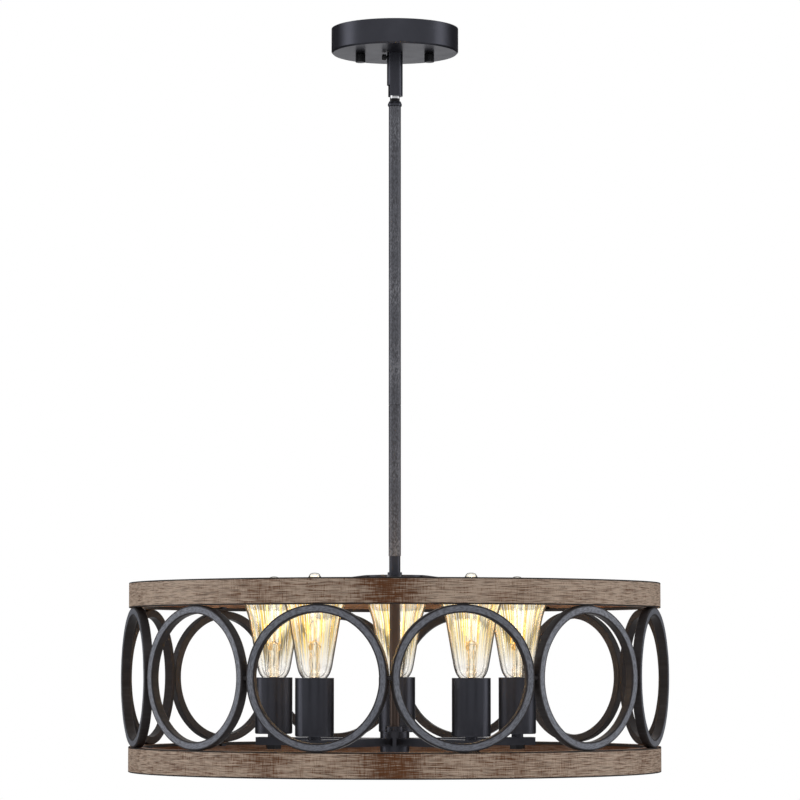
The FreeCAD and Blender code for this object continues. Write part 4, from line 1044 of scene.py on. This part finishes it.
class CHANDELIER_OT_make_stage(bpy.types.Operator):
    """Sets up the white studio: background, floor, soft lamps, dark cards and camera"""

    bl_idname = "chandelier.make_stage"
    bl_label = "Make stage"

    def execute(self, context):
        scene = context.scene
        stage = scene.chandelier_stage
        scene.view_settings.view_transform = "Standard"
        self.make_world(scene, stage)
        self.make_floor(scene, stage)
        right = Vector(stage.side_place)
        left = Vector((-right.x, right.y, right.z))
        self.soft_lamp(scene, "side_left", left, stage.side_size, stage.side_lamp)
        self.soft_lamp(scene, "side_right", right, stage.side_size, stage.right_share * stage.side_lamp)
        self.soft_lamp(scene, "front", Vector(stage.front_place), stage.front_size, stage.front_lamp)
        self.soft_lamp(scene, "low", Vector(stage.low_place), stage.low_size, stage.low_lamp)
        self.make_cards(scene, stage)
        self.make_camera(scene, stage)
        return {"FINISHED"}

    @staticmethod
    def make_world(scene, stage):
        """White to the camera, in reflections and through glass, and a dimmer white as light."""
        world = bpy.data.worlds.new("studio")
        world.use_nodes = True
        scene.world = world
        nodes = Nodes(world.node_tree)
        dim = nodes.add("ShaderNodeBackground", None, {"Color": WHITE, "Strength": stage.ambient})
        white = nodes.add("ShaderNodeBackground", None, {"Color": WHITE, "Strength": 1.0})
        mixed = nodes.add("ShaderNodeMixShader", None, {0: nodes.shown(), 1: dim, 2: white})
        nodes.add("ShaderNodeOutputWorld", None, {"Surface": mixed})

    @staticmethod
    def make_floor(scene, stage):
        """A pale floor well below the lamp, which fades into the white and is clear from underneath."""
        shape = bmesh.new()
        bmesh.ops.create_circle(shape, cap_ends=True, segments=stage.floor_steps,
                                radius=stage.floor_radius)
        mesh = finished_mesh("floor", shape)
        material, nodes = finish("pale_floor")
        tone = nodes.blend(nodes.specks(stage.floor_cloud), stage.floor_tone, stage.floor_pale)
        matt = {"Base Color": tone, "Roughness": 1.0, "Specular IOR Level": 0.0}
        pale = nodes.add("ShaderNodeBsdfPrincipled", None, matt, "BSDF")
        white = nodes.add("ShaderNodeEmission", None, {"Color": WHITE, "Strength": 1.0})
        away = nodes.vector("LENGTH", nodes.place(), output="Value")
        outward = nodes.between(away, stage.floor_middle, 0.9 * stage.floor_radius)
        fade = (stage.floor_white + (1.0 - stage.floor_white) * outward) * nodes.shown()
        faded = nodes.add("ShaderNodeMixShader", None, {0: fade, 1: pale, 2: white})
        under = nodes.add("ShaderNodeNewGeometry", None, None, "Backfacing")
        clear = nodes.add("ShaderNodeBsdfTransparent")
        both = nodes.add("ShaderNodeMixShader", None, {0: under, 1: faded, 2: clear})
        nodes.add("ShaderNodeOutputMaterial", None, {"Surface": both})
        mesh.materials.append(material)
        floor = bpy.data.objects.new("floor", mesh)
        floor.location.z = stage.floor
        scene.collection.objects.link(floor)

    @staticmethod
    def make_cards(scene, stage):
        """Two dark cards behind the sides, seen only in the metal, where they draw dark edges on it."""
        material, nodes = finish("dark_card")
        tone = nodes.blend(nodes.specks(stage.scuff, 3.0), stage.card_tone, stage.card_worn)
        nodes.surface(Base_Color=tone, Roughness=0.9, Specular_IOR_Level=0.0)
        for name, side in (("card_left", -1), ("card_right", 1)):
            edges = [Vector((side * math.sin(turn), -math.cos(turn), 0)) * stage.card_reach
                     for turn in (stage.card_front, stage.card_back)]
            shape = bmesh.new()
            feet = [shape.verts.new((edge.x, edge.y, stage.floor)) for edge in edges]
            heads = [shape.verts.new((edge.x, edge.y, stage.card_top)) for edge in reversed(edges)]
            shape.faces.new(feet + heads)
            mesh = finished_mesh(name, shape)
            mesh.materials.append(material)
            card = bpy.data.objects.new(name, mesh)
            card.visible_camera = False
            card.visible_diffuse = False
            card.visible_transmission = False
            card.visible_shadow = False
            scene.collection.objects.link(card)

    @staticmethod
    def soft_lamp(scene, name, place, size, energy):
        """A rectangular soft lamp that looks at the chandelier."""
        lamp = bpy.data.lights.new(name, "AREA")
        lamp.shape = "RECTANGLE"
        lamp.size, lamp.size_y = size
        lamp.energy = energy
        thing = bpy.data.objects.new(name, lamp)
        thing.location = place
        thing.rotation_euler = facing(place, Vector(scene.chandelier_stage.lamp_aim))
        scene.collection.objects.link(thing)

    @staticmethod
    def make_camera(scene, stage):
        """The camera, level with the drum and looking up a little."""
        camera = bpy.data.cameras.new("camera")
        camera.angle = stage.view_angle
        thing = bpy.data.objects.new("camera", camera)
        aside, ahead = math.sin(stage.bearing), -math.cos(stage.bearing)
        place = Vector((stage.distance * aside, stage.distance * ahead, stage.eye))
        thing.location = place
        thing.rotation_euler = facing(place, Vector((stage.aside, 0.0, stage.aim)))
        scene.collection.objects.link(thing)
        scene.camera = thing


STEPS = (
    CHANDELIER_OT_paint_metal,
    CHANDELIER_OT_plate_hardware,
    CHANDELIER_OT_make_hoops,
    CHANDELIER_OT_make_rings,
    CHANDELIER_OT_make_knobs,
    CHANDELIER_OT_make_bulbs,
    CHANDELIER_OT_make_stage,
)
SETTINGS = {
    "chandelier_paint": PaintSettings,
    "chandelier_hoops": HoopSettings,
    "chandelier_rings": RingSettings,
    "chandelier_knobs": KnobSettings,
    "chandelier_bulbs": BulbSettings,
    "chandelier_stage": StageSettings,
}


class CHANDELIER_PT_panel(bpy.types.Panel):
    """Lists the chandelier's settings and steps"""

    bl_idname = "CHANDELIER_PT_panel"
    bl_label = "Chandelier"
    bl_space_type = "VIEW_3D"
    bl_region_type = "UI"
    bl_category = "Chandelier"

    def draw(self, context):
        for step in STEPS:
            self.layout.operator(step.bl_idname)
        for name, kind in SETTINGS.items():
            box = self.layout.box()
            group = getattr(context.scene, name)
            for setting in kind.__annotations__:
                box.prop(group, setting)


def register():
    for name, kind in SETTINGS.items():
        bpy.utils.register_class(kind)
        setattr(bpy.types.Scene, name, bpy.props.PointerProperty(type=kind))
    for kind in (*STEPS, CHANDELIER_PT_panel):
        bpy.utils.register_class(kind)


def unregister():
    for kind in (CHANDELIER_PT_panel, *reversed(STEPS)):
        bpy.utils.unregister_class(kind)
    for name, kind in SETTINGS.items():
        delattr(bpy.types.Scene, name)
        bpy.utils.unregister_class(kind)


def main():
    register()
    bpy.ops.chandelier.paint_metal()
    bpy.ops.chandelier.plate_hardware()
    bpy.ops.chandelier.make_hoops()
    bpy.ops.chandelier.make_rings()
    bpy.ops.chandelier.make_knobs()
    bpy.ops.chandelier.make_bulbs()
    bpy.ops.chandelier.make_stage()


if __name__ == "__main__":
    main()
